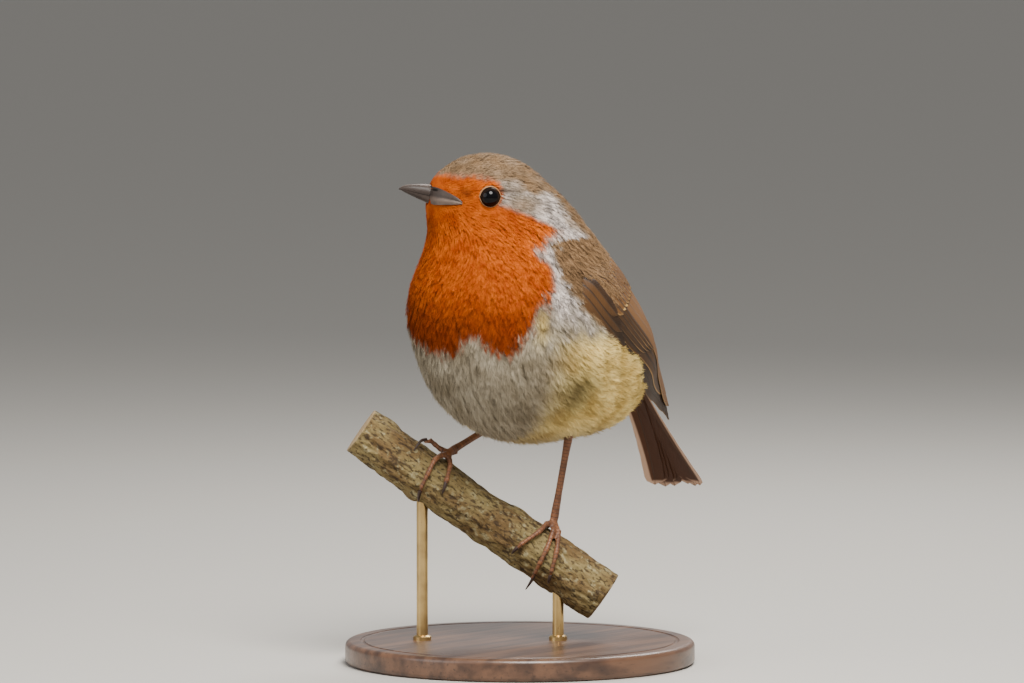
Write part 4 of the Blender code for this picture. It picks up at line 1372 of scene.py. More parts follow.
@dataclass
class Wing:
    """A folded wing: rows of vanes under soft coverts, set on the outside of its frame node."""

    side: str
    coat: Coat
    finish: VaneFinish
    bed_finish: Finish
    steps: int = 61
    bands: int = 31
    droop: float = 1.4
    shoulder_drop: float = 2.1
    blade_start: float = 0.86
    bed_depths: tuple[float, float] = (1.25 * MM, 1.75 * MM)
    covert_tries: int = 9000
    covert_gap: float = 0.95 * MM
    back_edge: tuple = ((10, 8, 108), (6, 22, 101), (3, 38, 88), (3.5, 49, 76), (5, 57, 63))
    flank_edge: tuple = (
        (21, -13, 104), (25, -4, 93), (25.3, 8, 84), (22.5, 22, 76), (16.5, 34, 69), (11.5, 44.5, 65),
        (8.5, 54, 59.5),
    )

    def build(self) -> None:
        """Makes the web, the bed under it, the vanes and the coverts."""
        self.web = self.lay_web()
        self.sheet = self.top_sheet()
        bed = self.bed()
        vanes = self.web.grow(f"wing_{self.side}_flight_feathers", self.vanes(), self.finish)
        stand_in(vanes, "wing_feathers", f"wing_{self.side}")
        stand_in(bed, "wing_feathers")
        self.coverts()

    def lay_web(self) -> Web:
        """The outer face of the wing node as a smooth sheet, from shoulder to tip."""
        sign = 1 if self.side == "left" else -1
        along, across = shares((0, 1, self.steps), (0, 1, self.bands))
        corner = 0.14 * (1 - along) * (2 * across - 1) ** 4 * np.where(across > 0.5, 0.4, 1.0)
        rounded = np.clip(along + corner, 0, 1) * 64
        paths = [smooth_path(edge, 65) for edge in (self.back_edge, self.flank_edge)]
        back, flank = (
            np.stack([np.interp(rounded, np.arange(65), path[:, axis]) for axis in range(3)], -1)
            for path in paths
        )
        turn = across * math.pi / 2
        sheet = back + (flank - back) * across[..., None]
        sheet[..., 0] = STANCE.midline / MM + sign * (back[..., 0] + (flank - back)[..., 0] * np.sin(turn))
        sheet[..., 1] = back[..., 1] + (flank - back)[..., 1] * (1 - np.cos(turn))
        sheet *= MM
        skin = BVHTree.FromObject(self.coat.skin.obj, bpy.context.evaluated_depsgraph_get())
        bm = merged_copy((f"wing_{self.side}",))
        node = BVHTree.FromBMesh(bm)
        bm.free()
        for row in range(self.steps):
            for band in range(self.bands):
                spot = Vector(sheet[row, band])
                normal = skin.find_nearest(spot)[1]
                hit = node.ray_cast(spot + normal * 15 * MM, -normal, 30 * MM)[0]
                near = hit or spot + normal * (node.find_nearest(spot)[0] - spot).dot(normal)
                sunk = 1 - smooth_step(row / self.steps, 0.12, 0.42)
                sunk *= 1 - smooth_step(band / self.bands, 0.4, 0.8)
                sheet[row, band] = near - normal * self.shoulder_drop * MM * float(sunk)
        for _ in range(10):
            inner = sheet[1:-1, 1:-1]
            inner += 0.5 * (
                (sheet[2:, 1:-1] + sheet[:-2, 1:-1] + sheet[1:-1, 2:] + sheet[1:-1, :-2]) / 4 - inner
            )
        last = int(self.blade_start * (self.steps - 1))
        middle, edge = sheet[:, self.bands // 2].copy(), sheet[last].copy()
        for row in range(last + 1, self.steps):
            run = (middle[last] - middle[last - 8]) / 8 * (row - last)
            sheet[row] = middle[last] + run + (edge - middle[last]) * (1 - 0.045 * (row - last))
        return Web(sheet, np.array((sign, 0.3, 0.3)), droop=self.droop)

    def bed(self) -> Piece:
        """The plain underlying blade, a little inside the vanes."""
        along, across = shares((0.03, 0.80, 40), (0.12, 0.92, 16))
        sheets = [self.web.at(along, across, np.full(along.shape, -depth)) for depth in self.bed_depths]
        points = np.concatenate([sheet.reshape(-1, 3) for sheet in sheets])
        threes = blade_faces(40, 16)
        name = f"wing_{self.side}_bed"
        mesh = mesh_of_threes(name, points, threes)
        flat = np.stack([along, across], -1).reshape(-1, 2)
        lay_flat(mesh, threes, np.concatenate([flat * (1, 0.48), flat * (1, 0.48) + (0, 0.5)]))
        return dress(placed(name, mesh), self.bed_finish)

    def vanes(self) -> list[Vane]:
        """Primaries, secondaries, tertials, primary coverts, rows of coverts and alula, in that order."""
        tips = (
            (0.97, 0.80), (1.02, 0.69), (1.06, 0.58), (1.065, 0.50), (1.035, 0.43), (1.0, 0.37), (0.96, 0.32),
            (0.92, 0.28),
        )
        made = [
            Vane((0.40, 0.97 - 0.055 * step), tip, 2.0, 2.1, -1.0 + 0.06 * step, bow=0.05, point=0.45,
                 pale=0.55, tone=0.12)
            for step, tip in enumerate(tips)
        ]
        made += [
            Vane((0.15, 0.92 - 0.40 * part), (0.80 + 0.09 * part, 0.70 - 0.42 * part), 2.5, 2.2,
                 -0.56 + 0.07 * step, bow=0.03, point=0.3, pale=0.9, tone=0.3)
            for step, part in enumerate(step / 5 for step in range(6))
        ]
        made += [
            Vane((0.13, 0.62 - 0.14 * step), (0.95 - 0.08 * step, 0.52 - 0.13 * step), 3.0, 3.8,
                 -0.06 + 0.10 * step, point=0.35, pale=0.6, tone=1.5)
            for step in range(4)
        ]
        made += [
            Vane((0.12, 0.99 - 0.05 * step), (0.38 + 0.012 * step, 0.965 - 0.05 * step), 1.3, 1.2,
                 -0.25 + 0.07 * step, point=0.3, pale=0.8, tone=0.25)
            for step in range(6)
        ]
        rows = ((0.08, 0.23, 11, 0.75), (0.05, 0.175, 12, 0.35), (0.04, 0.13, 12, 0.2))
        for row, (start, end, count, pale) in enumerate(rows):
            for step in range(count):
                part = step / (count - 1)
                spot = (1.0 if 0.05 < part < 0.25 else 0.2) * (row == 0)
                tip = (end - 0.02 * math.cos(3 * part), 0.81 - 0.68 * part)
                made.append(
                    Vane((start, 0.84 - 0.72 * part), tip, 2.0 - 0.2 * row, 1.9 - 0.2 * row,
                         0.16 + 0.045 * step - 0.02 * row, point=0.35, pale=pale, spot=spot, tone=0.9)
                )
        made += [
            Vane((0.02, 0.97 - 0.045 * step), (0.30 - 0.06 * step, 0.985 - 0.05 * step), 2.1, 1.9,
                 0.60 + 0.14 * step, point=0.45, pale=0.4, tone=0.45)
            for step in range(3)
        ]
        return made

    def coverts(self) -> None:
        """The soft lesser and median coverts and the scapulars over the vanes' roots."""
        chance = np.random.default_rng(5 if self.side == "left" else 6)
        along, across = (
            chance.uniform(low, high, self.covert_tries) for low, high in ((0.0, 0.34), (0.02, 1.0))
        )
        inner = along < 0.12 + 0.08 * smooth_step(across, 0.50, 0.15)
        inner &= across < 0.88 - 0.06 * (along > 0.08)
        along, across = along[inner], across[inner]
        kept = spaced(self.web.at(along, across), np.full(len(along), self.covert_gap))
        along, across = along[kept], across[kept]
        lengths = (3.4 + 3.0 * np.clip(along / 0.3, 0, 1)) * MM
        bunch = self.web.bunch(along, across, lengths, 0.5 * MM)
        marks = np.zeros((len(along), 5))
        marks[:, 1] = 1.0
        cut = Cut(40, "wing_feathers", half_width=0.24, loose=0.2)
        self.coat.grow(f"coat_wing_{self.side}", bunch, cut, marks, self.sheet)

    def top_sheet(self) -> BVHTree:
        """The web as a surface to walk on."""
        rows, bands = self.web.grid.shape[:2]
        number = np.arange(rows * bands).reshape(rows, bands)
        quads = cells_of(number)
        normal = self.web.normal[:-1, :-1].reshape(-1, 3)
        corners = self.web.grid.reshape(-1, 3)
        start, along, _, across = (corners[quads[:, k]] for k in range(4))
        if (np.cross(along - start, across - start) * normal).sum() < 0:
            quads = quads[:, ::-1]
        return BVHTree.FromPolygons([Vector(place) for place in corners], quads.tolist())


@dataclass
class Tail:
    """The closed tail: six pairs of vanes under a roof, the middle pair on top."""

    finish: VaneFinish
    tip: Vector = field(default_factory=lambda: Vector((2.2, 66.2, 43.3)) * MM)
    length: float = 42 * MM
    slope: float = math.radians(53)
    root_width: float = 10 * MM
    tip_width: float = 21.5 * MM

    def build(self) -> None:
        """Lays the vanes on the tail's own web."""
        vanes = []
        for pair in reversed(range(6)):
            for side in (-1, 1):
                spread = 0.05 + 0.31 * (pair / 5)
                reach = (1.025, 1.045, 1.02, 1.045, 1.015, 1.02)[pair] - 0.012 * side
                vane = Vane((0.0, 0.5 + side * 0.05 * pair / 5), (reach, 0.5 + side * spread),
                            3.5 if side > 0 else 2.9, 2.9 if side > 0 else 3.5,
                            0.40 - 0.16 * pair + 0.03 * side, point=0.10, pale=2.0 if pair == 5 else 0.4,
                            tone=0.4, flip=side)
                vanes.append(vane)
        obj = self.lay_web().grow("tail_feathers", vanes, self.finish)
        stand_in(obj, "tail_feathers", "tail")

    def lay_web(self) -> Web:
        """The tail's middle sheet, roofed across."""
        along, across = shares((0, 1, 25), (0, 1, 25))
        offset = 2 * across - 1
        way = np.array((0.0, math.cos(self.slope), -math.sin(self.slope)))
        above = np.array((0.0, math.sin(self.slope), math.cos(self.slope)))
        width = self.root_width + (self.tip_width - self.root_width) * along**1.3
        roof = -1.3 * MM * offset**2 * (0.4 + 0.6 * along)
        sheet = np.array(self.tip) + way * (self.length * (along - 1))[..., None] + above * roof[..., None]
        sheet[..., 0] += width / 2 * offset
        return Web(sheet, above)


# ---- bill and eyes
class HornFinish(Finish):
    """Horn of the bill or claws: dark and smooth with a fine grain, paler by the piece's own shade; on the
    bill that shade holds a painted highlight along the ridge and painted shade in the nostrils.
    """

    def __init__(self, name: str, dark: Colour, pale: Colour, sheen: float) -> None:
        """Mixes dark and pale horn by the piece's own shade."""
        super().__init__(name, Specular_IOR_Level=sheen)
        grain = self.noise(0.5 * MM, 3.0, self.place((1, 1, 0.6)))
        cloud = self.noise(2.2 * MM, 2.0)
        shade = self.attribute("pale") + (cloud - 0.5) * 0.35
        colour = self.mix(shade.ramp(0.1, 0.95), dark, pale)
        # Painted shade: where the piece's shade falls below zero, in the nostrils, the horn goes nearly
        # black.
        colour = self.mix(self.attribute("pale").ramp(-0.35, -0.95), colour, (0.006, 0.004, 0.003))
        colour = self.shade(colour, grain * 0.3 + 0.85)
        self.paint(colour, grain * 0.15 + 0.34, grain, 0.03 * MM)


@dataclass
class Bill:
    """The two halves of the bill with their nostrils, and the soft corners of the gape."""

    finish: HornFinish
    skin: Piece
    root: float = 11.5
    tip: float = 25.8
    half_width: float = 2.5
    steps: int = 44
    sides: int = 28

    def build(self) -> None:
        """Makes both halves and the corners of the gape."""
        for half in ("upper", "lower"):
            obj = self.mandible(half == "upper")
            stand_in(obj, "bill_horn", f"bill_{half}")
        face = BVHTree.FromObject(self.skin, bpy.context.evaluated_depsgraph_get())
        for side in (1, -1):
            stand_in(self.corner(side, face), "bill_horn")

    def corner(self, side: int, face: BVHTree) -> Piece:
        """The bare edge of the gape, drawn back over the face to a point.

        Args:
            side: 1 for the left and -1 for the right.
            face: the skin that it lies on.

        Returns:
            The object.
        """
        bm = bmesh.new()
        bmesh.ops.create_grid(bm, x_segments=40, y_segments=36, size=0.5)
        shades = bm.verts.layers.float.new("pale")
        for vert in bm.verts:
            share, turn = vert.co.x + 0.5, (vert.co.y + 0.5) * math.tau
            forward, lip, facing = 18.0 - 7.4 * share, math.cos(turn), math.sin(turn)
            middle, half = gape_band(forward)
            place = max(0.0, (forward - self.root) / (self.tip - self.root))
            ridge, _, keel, _ = self.profile(np.float64(place))
            height = min(max(middle + half * lip, keel + 0.2), ridge - 0.2)
            origin = STANCE.on_head(forward, 14.0 * side, height)
            hit = face.ray_cast(origin, STANCE.left * -side, 14 * MM)[0]
            cheek = abs(float(STANCE.head_frame(np.array([hit]))[0, 1])) if hit else 0.0
            fold = 0.14 * math.exp(-(((lip + 0.42) / 0.26) ** 2)) - 0.14 * math.exp(-((lip / 0.14) ** 2))
            hole = math.exp(-1.3 * (((forward - 16.9) / 0.8) ** 2 + ((height - 1.75) / 0.42) ** 2))
            carved = (fold * min(1.0, 4 * share) - 0.35 * hole) if facing > 0 else 0.0
            cheek += 1.05 - 0.55 * share
            flush = self.side_at(place, height) - 0.02
            out = 0.5 * (cheek + flush + math.hypot(cheek - flush, 0.25)) + carved
            vert.co = STANCE.on_head(forward, side * (out + (0.10 + 0.10 * share) * facing), height)
            # Painted shade: the shade drops in the groove of the mouth line and falls below zero, near black,
            # in the nostril's hole.
            vert[shades] = 0.245 - 0.105 * math.tanh(lip / 0.15) + 0.15 * share + 1.1 * fold - 1.8 * hole
        close_up(bm)
        return finished(f"gape_corner_{'left' if side > 0 else 'right'}", bm, self.finish, 60)

    def side_at(self, share: float, height: float) -> float:
        """How far out the bill's side is at a share of its length and a height, in millimetres."""
        ridge, gape, keel, width = self.profile(np.float64(share))
        limit = ridge - gape if height > gape else gape - keel
        up = min(abs(height - gape) / limit, 0.98) ** (1 / 0.75)
        return width * (1 - up**2) ** 0.4 * (1 - 0.18 * up**3)

    def profile(self, share: Numbers) -> tuple[Numbers, Numbers, Numbers, Numbers]:
        """Heights of ridge, gape line and keel and the half width, in millimetres, along the bill."""
        gape = -1.55 + 3.5 * share
        ridge = gape + 3.2 * (1 - share**2.6) ** 0.75 * (1 - 0.10 * share)
        keel = gape - 2.9 * (1 - share**1.4) ** 0.8
        width = self.half_width * (1 - share**1.7) ** 0.62 + 0.7 * np.clip(1 - 2.6 * share, 0, 1)
        return ridge, gape, keel, width

    def mandible(self, upper: bool) -> Piece:
        """One half of the bill, its tube of rings closed at both ends.

        Args:
            upper: whether it is the upper half.

        Returns:
            The object.
        """
        bm = bmesh.new()
        bmesh.ops.create_grid(bm, x_segments=self.steps, y_segments=self.sides, size=0.5)
        pale = {}
        for vert in bm.verts:
            share = ((vert.co.x + 0.5) ** 0.8) * (0.995 if upper else 0.985)
            turn = (vert.co.y + 0.5) * math.tau
            ridge, gape, keel, width = (float(part) for part in self.profile(np.float64(share)))
            width = max(width, 0.12) * (1.0 if upper else 0.93)
            rise = max(ridge - gape, 0.12) if upper else -max(gape - keel, 0.12)
            sine, cosine = math.sin(turn), math.cos(turn)
            if sine >= 0:
                height = rise * sine**0.75
            else:
                height = -0.16 * abs(sine) if upper else 0.05 * abs(sine)
            hook = -0.25 * max(0.0, (share - 0.86) / 0.14) ** 2 if upper else 0.0
            narrow = 1.0 - 0.18 * max(0.0, sine) ** 3
            forward = self.root + (self.tip - self.root) * share
            across = math.copysign(width * abs(cosine) ** 0.8, cosine) * narrow
            base = 1.0 - min(1.0, (forward - 15.0) / 7.0)
            pale[vert.index] = 0.55 * max(0.0, base) * (0.4 if upper else 1.0)
            # Painted highlight: the upper half is paler along its ridge.
            pale[vert.index] += 0.45 * max(0.0, sine) ** 6 if upper else 0.0
            vert.co = STANCE.on_head(forward, across, gape + height + hook + (0.05 if upper else -0.05))
        shades = bm.verts.layers.float.new("pale")
        for vert in bm.verts:
            vert[shades] = pale[vert.index]
        close_up(bm)
        return finished("bill_upper_horn" if upper else "bill_lower_horn", bm, self.finish, 60)


@dataclass
class Eye:
    """An eyeball with its lids."""

    side: str
    set_back: float = 0.75 * MM
    radius: float = 2.8 * MM

    def build(self, ball_finish: Finish, lid_finish: Finish) -> None:
        """Makes the eyeball and the ring of its lids from the place of the eye node."""
        low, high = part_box(f"eye_{self.side}")
        self.middle = (low + high) / 2 - STANCE.forward * self.set_back
        sign = 1 if self.side == "left" else -1
        turn = math.radians(2)
        self.axis = (STANCE.left * sign * math.cos(turn) + STANCE.forward * math.sin(turn)).normalized()
        self.ball(ball_finish)
        self.lids(lid_finish)

    def place(self) -> Matrix:
        """From the eye's own frame, with its axis as Z, to the bird's."""
        return Matrix.Translation(self.middle) @ self.axis.to_track_quat("Z", "Y").to_matrix().to_4x4()

    def ball(self, finish: Finish) -> None:
        """The glossy eyeball, a little fuller over the cornea."""
        bm = bmesh.new()
        bmesh.ops.create_uvsphere(bm, u_segments=48, v_segments=32, radius=self.radius)
        for vert in bm.verts:
            out = max(0.0, vert.co.z / self.radius - 0.55) / 0.45
            vert.co.z += 0.10 * MM * out
        ring = bm.verts.layers.float.new("iris")
        for vert in bm.verts:
            vert[ring] = math.hypot(vert.co.x, vert.co.y) / self.radius if vert.co.z > 0 else 1.0
        bmesh.ops.transform(bm, matrix=self.place(), verts=bm.verts)
        obj = finished(f"eyeball_{self.side}", bm, finish, 180)
        stand_in(obj, "eye", f"eye_{self.side}")

    def lids(self, finish: Finish) -> None:
        """A thin raised rim round the eyeball, drawn to a point behind and before."""
        profile = (
            (2.58, 0.90), (2.58, 1.10), (2.63, 1.20), (2.70, 1.20), (2.78, 1.06), (2.86, 0.75), (2.9, 0.2),
        )
        bm = turned([(out * MM, up * MM) for out, up in profile], 64)
        rim = bm.verts.layers.float.new("pale")
        to_eye = self.place()
        back = to_eye.to_3x3().inverted() @ STANCE.forward
        ahead = math.atan2(back.y, back.x)
        for vert in bm.verts:
            out = math.hypot(vert.co.x, vert.co.y)
            turn = math.atan2(vert.co.y, vert.co.x) - ahead
            corner = math.exp(-((math.sin(turn) / 0.16) ** 2))
            vert.co.x *= 1 + 0.05 * corner
            vert.co.y *= 1 + 0.05 * corner
            vert.co.z -= 0.10 * MM * corner
            # Painted shade: the rim darkens towards the eye's sunken corners; its inner edge is dark.
            vert[rim] = (1.0 if out > 2.61 * MM else 0.25) * (1 - 0.35 * corner)
        bmesh.ops.transform(bm, matrix=to_eye, verts=bm.verts)
        bmesh.ops.recalc_face_normals(bm, faces=bm.faces)
        obj = finished(f"eyelids_{self.side}", bm, finish, 60)
        thick = obj.modifiers.new("thickness", "SOLIDIFY")
        thick.thickness, thick.offset = 0.12 * MM, -1
        stand_in(obj, "eye")


class EyeFinish(Finish):
    """A wet dark eye: a black pupil in a very dark brown iris."""

    def __init__(self, name: str) -> None:
        """Mixes pupil and iris by the distance from the eye's axis."""
        super().__init__(name, Specular_IOR_Level=0.14)
        ring = self.attribute("iris")
        iris = self.mix(self.noise(0.4 * MM, 2.0), (0.006, 0.003, 0.002), (0.012, 0.006, 0.003))
        colour = self.mix(ring.ramp(0.62, 0.70), (0.002, 0.002, 0.0025), iris)
        colour = self.mix(ring.ramp(0.84, 0.92), colour, (0.004, 0.003, 0.003))
        self.paint(colour, 0.04)


class LidFinish(Finish):
    """The bare rim of the eyelids: buff, dark at the inner edge, with painted shade at the corners."""

    def __init__(self, name: str) -> None:
        """Mixes dark and buff skin by the rim's own shade."""
        super().__init__(name, Specular_IOR_Level=0.3)
        shade = self.attribute("pale")
        colour = self.mix(shade.ramp(0.2, 0.9), (0.03, 0.015, 0.01), (0.30, 0.15, 0.065))
        grain = self.noise(0.35 * MM, 3.0)
        self.paint(self.shade(colour, grain * 0.4 + 0.8), 0.6, grain, 0.05 * MM)


# ---- legs and claws
class LegFinish(Finish):
    """Brown-pink leg skin, ringed with scutes along each toe and shank."""

    def __init__(self, name: str) -> None:
        """Rings the skin by its distance along the leg."""
        super().__init__(name, Specular_IOR_Level=0.45)
        run = self.attribute("run")
        saw = (run / 0.95).maths("FRACT")
        groove = saw.ramp(0.0, 0.16) * (1.0 - saw.ramp(0.88, 1.0))
        cloud = self.noise(2.5 * MM, 3.0).ramp(0.3, 0.7)
        fine = self.noise(0.4 * MM, 3.0)
        colour = self.mix(cloud, (0.10, 0.037, 0.014), (0.22, 0.084, 0.033))
        colour = self.mix(groove, (0.040, 0.018, 0.012), colour)
        colour = self.shade(colour, fine * 0.35 + 0.82)
        self.paint(colour, 0.52, groove * 0.7 + fine * 0.3, 0.09 * MM)


@dataclass
class Foot:
    """A bare shank with its foot, fused into one skin, and the four claws."""

    side: str
    voxel: float = 0.15 * MM
    swelling: float = 0.30 * MM
    knuckle: float = 1.25 * MM
    smoothing: int = 7

    def build(self, skin: LegFinish, horn: HornFinish) -> None:
        """Fuses the leg's nodes and dresses the claws."""
        toes = [f"toe_{self.side}_{toe}" for toe in ("inner", "middle", "outer", "hind")]
        nodes = [f"shank_{self.side}", f"foot_pad_{self.side}", *toes]
        bm = merged_copy(toes)
        swell(bm, self.swelling)
        shank = merged_copy(nodes[:1])
        swell(shank, 0.42 * MM)
        low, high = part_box(nodes[1])
        knuckle = (low + high) / 2
        self.link(bm, knuckle, shank, self.knuckle, 2.9 * MM)
        joined = bpy.data.meshes.new("shank")
        shank.to_mesh(joined)
        shank.free()
        bm.from_mesh(joined)
        for toe in toes:
            self.link(bm, knuckle, merged_copy((toe,)), self.knuckle, 1.9 * MM)
            root = self.root_of(toe.replace("toe", "claw"), toe)
            self.link(bm, root, merged_copy((toe,)), 0.65 * MM, 1.6 * MM)
        obj = cast(f"leg_{self.side}", bm, self.voxel)
        mesh = obj.data
        relax(mesh, self.smoothing)
        place_corners(mesh, corners_of(mesh) - normals_of(mesh) * (self.swelling - 0.03 * MM))
        relax(mesh, 2)
        off = corners_of(mesh) - np.array(knuckle)
        store_value(mesh, "run", np.linalg.norm(off, axis=1) / MM)
        dress(obj, skin)
        stand_in(obj, "leg_skin", *nodes)
        for toe in ("inner", "middle", "outer", "hind"):
            self.claw(toe, horn)

    @staticmethod
    def root_of(claw: str, toe: str) -> Vector:
        """The middle of the end of the claw node that is nearest to the toe node."""
        horn, flesh = merged_copy((claw,)), merged_copy((toe,))
        tree = BVHTree.FromBMesh(flesh)
        joint = min((vert.co for vert in horn.verts), key=lambda place: tree.find_nearest(place)[3])
        ring = [vert.co for vert in horn.verts if (vert.co - joint).length < 1.0 * MM]
        middle = sum((vert.co for vert in horn.verts), Vector()) / len(horn.verts)
        return (sum(ring, Vector()) / len(ring)).lerp(middle, 0.35)

    @staticmethod
    def link(bm: Draft, near: Vector, limb: Draft, radius: float, reach: float) -> None:
        """Adds a tapered length of skin between a place and the nearest end of a limb.

        Args:
            bm: the mesh that gets it.
            near: the place.
            limb: the limb, which is only measured.
            radius: its radius at the place.
            reach: how far the limb's end is looked at from its nearest corner.
        """
        nearest = min(limb.verts, key=lambda vert: (vert.co - near).length).co
        ring = [vert.co for vert in limb.verts if (vert.co - nearest).length < reach]
        end = sum(ring, Vector()) / len(ring)
        way = end - near
        axis = way.normalized()
        thick = max(((place - end) - axis * (place - end).dot(axis)).length for place in ring)
        place = Matrix.Translation((near + end) / 2) @ way.to_track_quat("Z", "Y").to_matrix().to_4x4()
        bmesh.ops.create_cone(
            bm, cap_ends=True, segments=16, radius1=radius, radius2=thick, depth=way.length, matrix=place
        )
        bmesh.ops.create_icosphere(bm, subdivisions=2, radius=radius, matrix=Matrix.Translation(near))

    def claw(self, toe: str, horn: HornFinish) -> None:
        """A claw, from its node's own shape with the facets rounded."""
        name = f"claw_{self.side}_{toe}"
        bm = merged_copy((name,))
        bmesh.ops.join_triangles(
            bm, faces=bm.faces, angle_face_threshold=math.pi, angle_shape_threshold=math.pi
        )
        shades = bm.verts.layers.float.new("pale")
        for vert in bm.verts:
            vert[shades] = 0.1
        obj = finished(f"{name}_horn", bm, horn, 180)
        smooth = obj.modifiers.new("rounding", "SUBSURF")
        smooth.levels = smooth.render_levels = 2
        stand_in(obj, "claw_horn", name)


# ---- perch and stand
class BarkFinish(Finish):
    """Tan-green bark with grey lichen, dark specks and fine cracks; sawn wood at the cut ends."""

    def __init__(self, name: str) -> None:
        """Layers bark, lichen and specks, with rings on the cuts."""
        super().__init__(name, Specular_IOR_Level=0.2)
        worked = self.node("ShaderNodeAttribute", {"attribute_name": "bark"}, {}, "Vector")
        line = self.node("ShaderNodeMapping", {}, {0: worked, 3: (1.0, 1.0, 0.5)})
        fine = self.noise(0.55 * MM, 4.0, line)
        crack = self.noise(1.4 * MM, 5.0, line)
        cloud = self.noise(6 * MM, 4.0, line).ramp(0.38, 0.62)
        lichen = self.noise(1.8 * MM, 4.0).ramp(0.55, 0.68)
        speck = self.noise(0.65 * MM, 3.0, line).ramp(0.53, 0.63)
        colour = self.layered(
            (0.110, 0.068, 0.027), (cloud, (0.185, 0.140, 0.058)), (lichen * 0.6, (0.27, 0.24, 0.135)),
            (speck * 0.8, (0.030, 0.019, 0.010)), (crack.ramp(0.44, 0.34) * 0.85, (0.035, 0.022, 0.012)),
        )
        cut = self.attribute("cut")
        rings = (self.attribute("ring") * 7.0 + self.noise(3 * MM) * 3.0).maths("SINE") * 0.5 + 0.5
        wood = self.mix(rings, (0.24, 0.16, 0.08), (0.36, 0.26, 0.14))
        colour = self.mix(cut, self.shade(colour, fine * 1.3 + 0.45), wood)
        height = (crack * 0.6 + fine * 0.5) * (1.0 - cut) + rings * cut * 0.15
        self.paint(colour, 0.86, height, 0.55 * MM)


@dataclass
class Perch:
    """The cut length of branch: its node's form with bark worked into it."""

    start: float = -51 * MM
    end: float = 26.5 * MM
    voxel: float = 0.36 * MM
    smoothing: int = 14

    def build(self) -> None:
        """Fuses the branch node finely, works the bark and marks the cut ends."""
        bm = merged_copy(("perch_branch",))
        obj = cast("perch_bark", bm, self.voxel)
        mesh = obj.data
        corners = corners_of(mesh)
        root, axis = np.array((0, 0, STANCE.branch_height)), np.array(STANCE.branch_along)
        along = (corners - root) @ axis
        inner = (along > self.start + 0.8 * MM) & (along < self.end - 0.8 * MM)
        relax(mesh, self.smoothing)
        corners = np.where(inner[:, None], corners_of(mesh), corners)
        place_corners(mesh, corners)
        off = corners - root - along[:, None] * axis
        high, deep = off @ np.array(STANCE.branch_up), off @ np.array(STANCE.near)
        local = np.stack([high, deep, along], 1)
        normals = normals_of(mesh)
        stretched = local * (1.0, 1.0, 0.3)
        rough = 0.16 * ripple(stretched, 3.0 * MM, 41) + 0.12 * ripple(stretched, 1.5 * MM, 42)
        rough += 0.22 * np.maximum(ripple(local, 9 * MM, 43) - 0.35, 0.0)
        rough -= 0.25 * np.maximum(ripple(stretched, 2.2 * MM, 44) - 0.75, 0.0)
        cut = np.maximum(*(
            smooth_step(out, reach - 0.45 * MM, reach - 0.1 * MM)
            for out, reach in ((-along, -self.start), (along, self.end))
        ))
        place_corners(mesh, corners + normals * (rough * (1 - cut) * MM)[:, None])
        store_value(mesh, "cut", cut)
        store_value(mesh, "ring", np.hypot(high, deep) / MM)
        mesh.attributes.new("bark", "FLOAT_VECTOR", "POINT").data.foreach_set(
            "vector", local.astype(np.float32).ravel()
        )
        dress(obj, BarkFinish("bark"))
        stand_in(obj, "bark", "perch_branch")


class WoodFinish(Finish):
    """Dark turned wood with a satin coat."""

    def __init__(self, name: str) -> None:
        """Draws long grain through the wood."""
        super().__init__(name, Coat_Roughness=0.25)
        self.shader.inputs["Coat Weight"].default_value = 0.35
        bands = self.noise(4 * MM, 5.0, self.place((1.0, 0.09, 1.0), (0.0, 0.12, 0.3)))
        fine = self.noise(0.8 * MM, 3.0, self.place((1.0, 0.04, 1.0), (0.0, 0.12, 0.3)))
        colour = self.mix(bands.ramp(0.3, 0.7), (0.045, 0.020, 0.011), (0.135, 0.064, 0.033))
        colour = self.mix(fine.ramp(0.58, 0.72) * 0.6, colour, (0.022, 0.010, 0.006))
        self.paint(colour, fine * 0.15 + 0.33, fine, 0.04 * MM)


class BrassFinish(Finish):
    """Drawn brass with fine lengthwise lines and a little tarnish."""

    def __init__(self, name: str) -> None:
        """Mixes bright and dulled brass."""
        super().__init__(name, Metallic=1.0)
        lines = self.noise(0.35 * MM, 3.0, self.place((1.0, 1.0, 0.03)))
        cloud = self.noise(6 * MM, 3.0)
        colour = self.mix(cloud.ramp(0.35, 0.7), (0.66, 0.46, 0.19), (0.46, 0.31, 0.13))
        self.paint(colour, lines * 0.14 + cloud * 0.12 + 0.18, lines, 0.02 * MM)


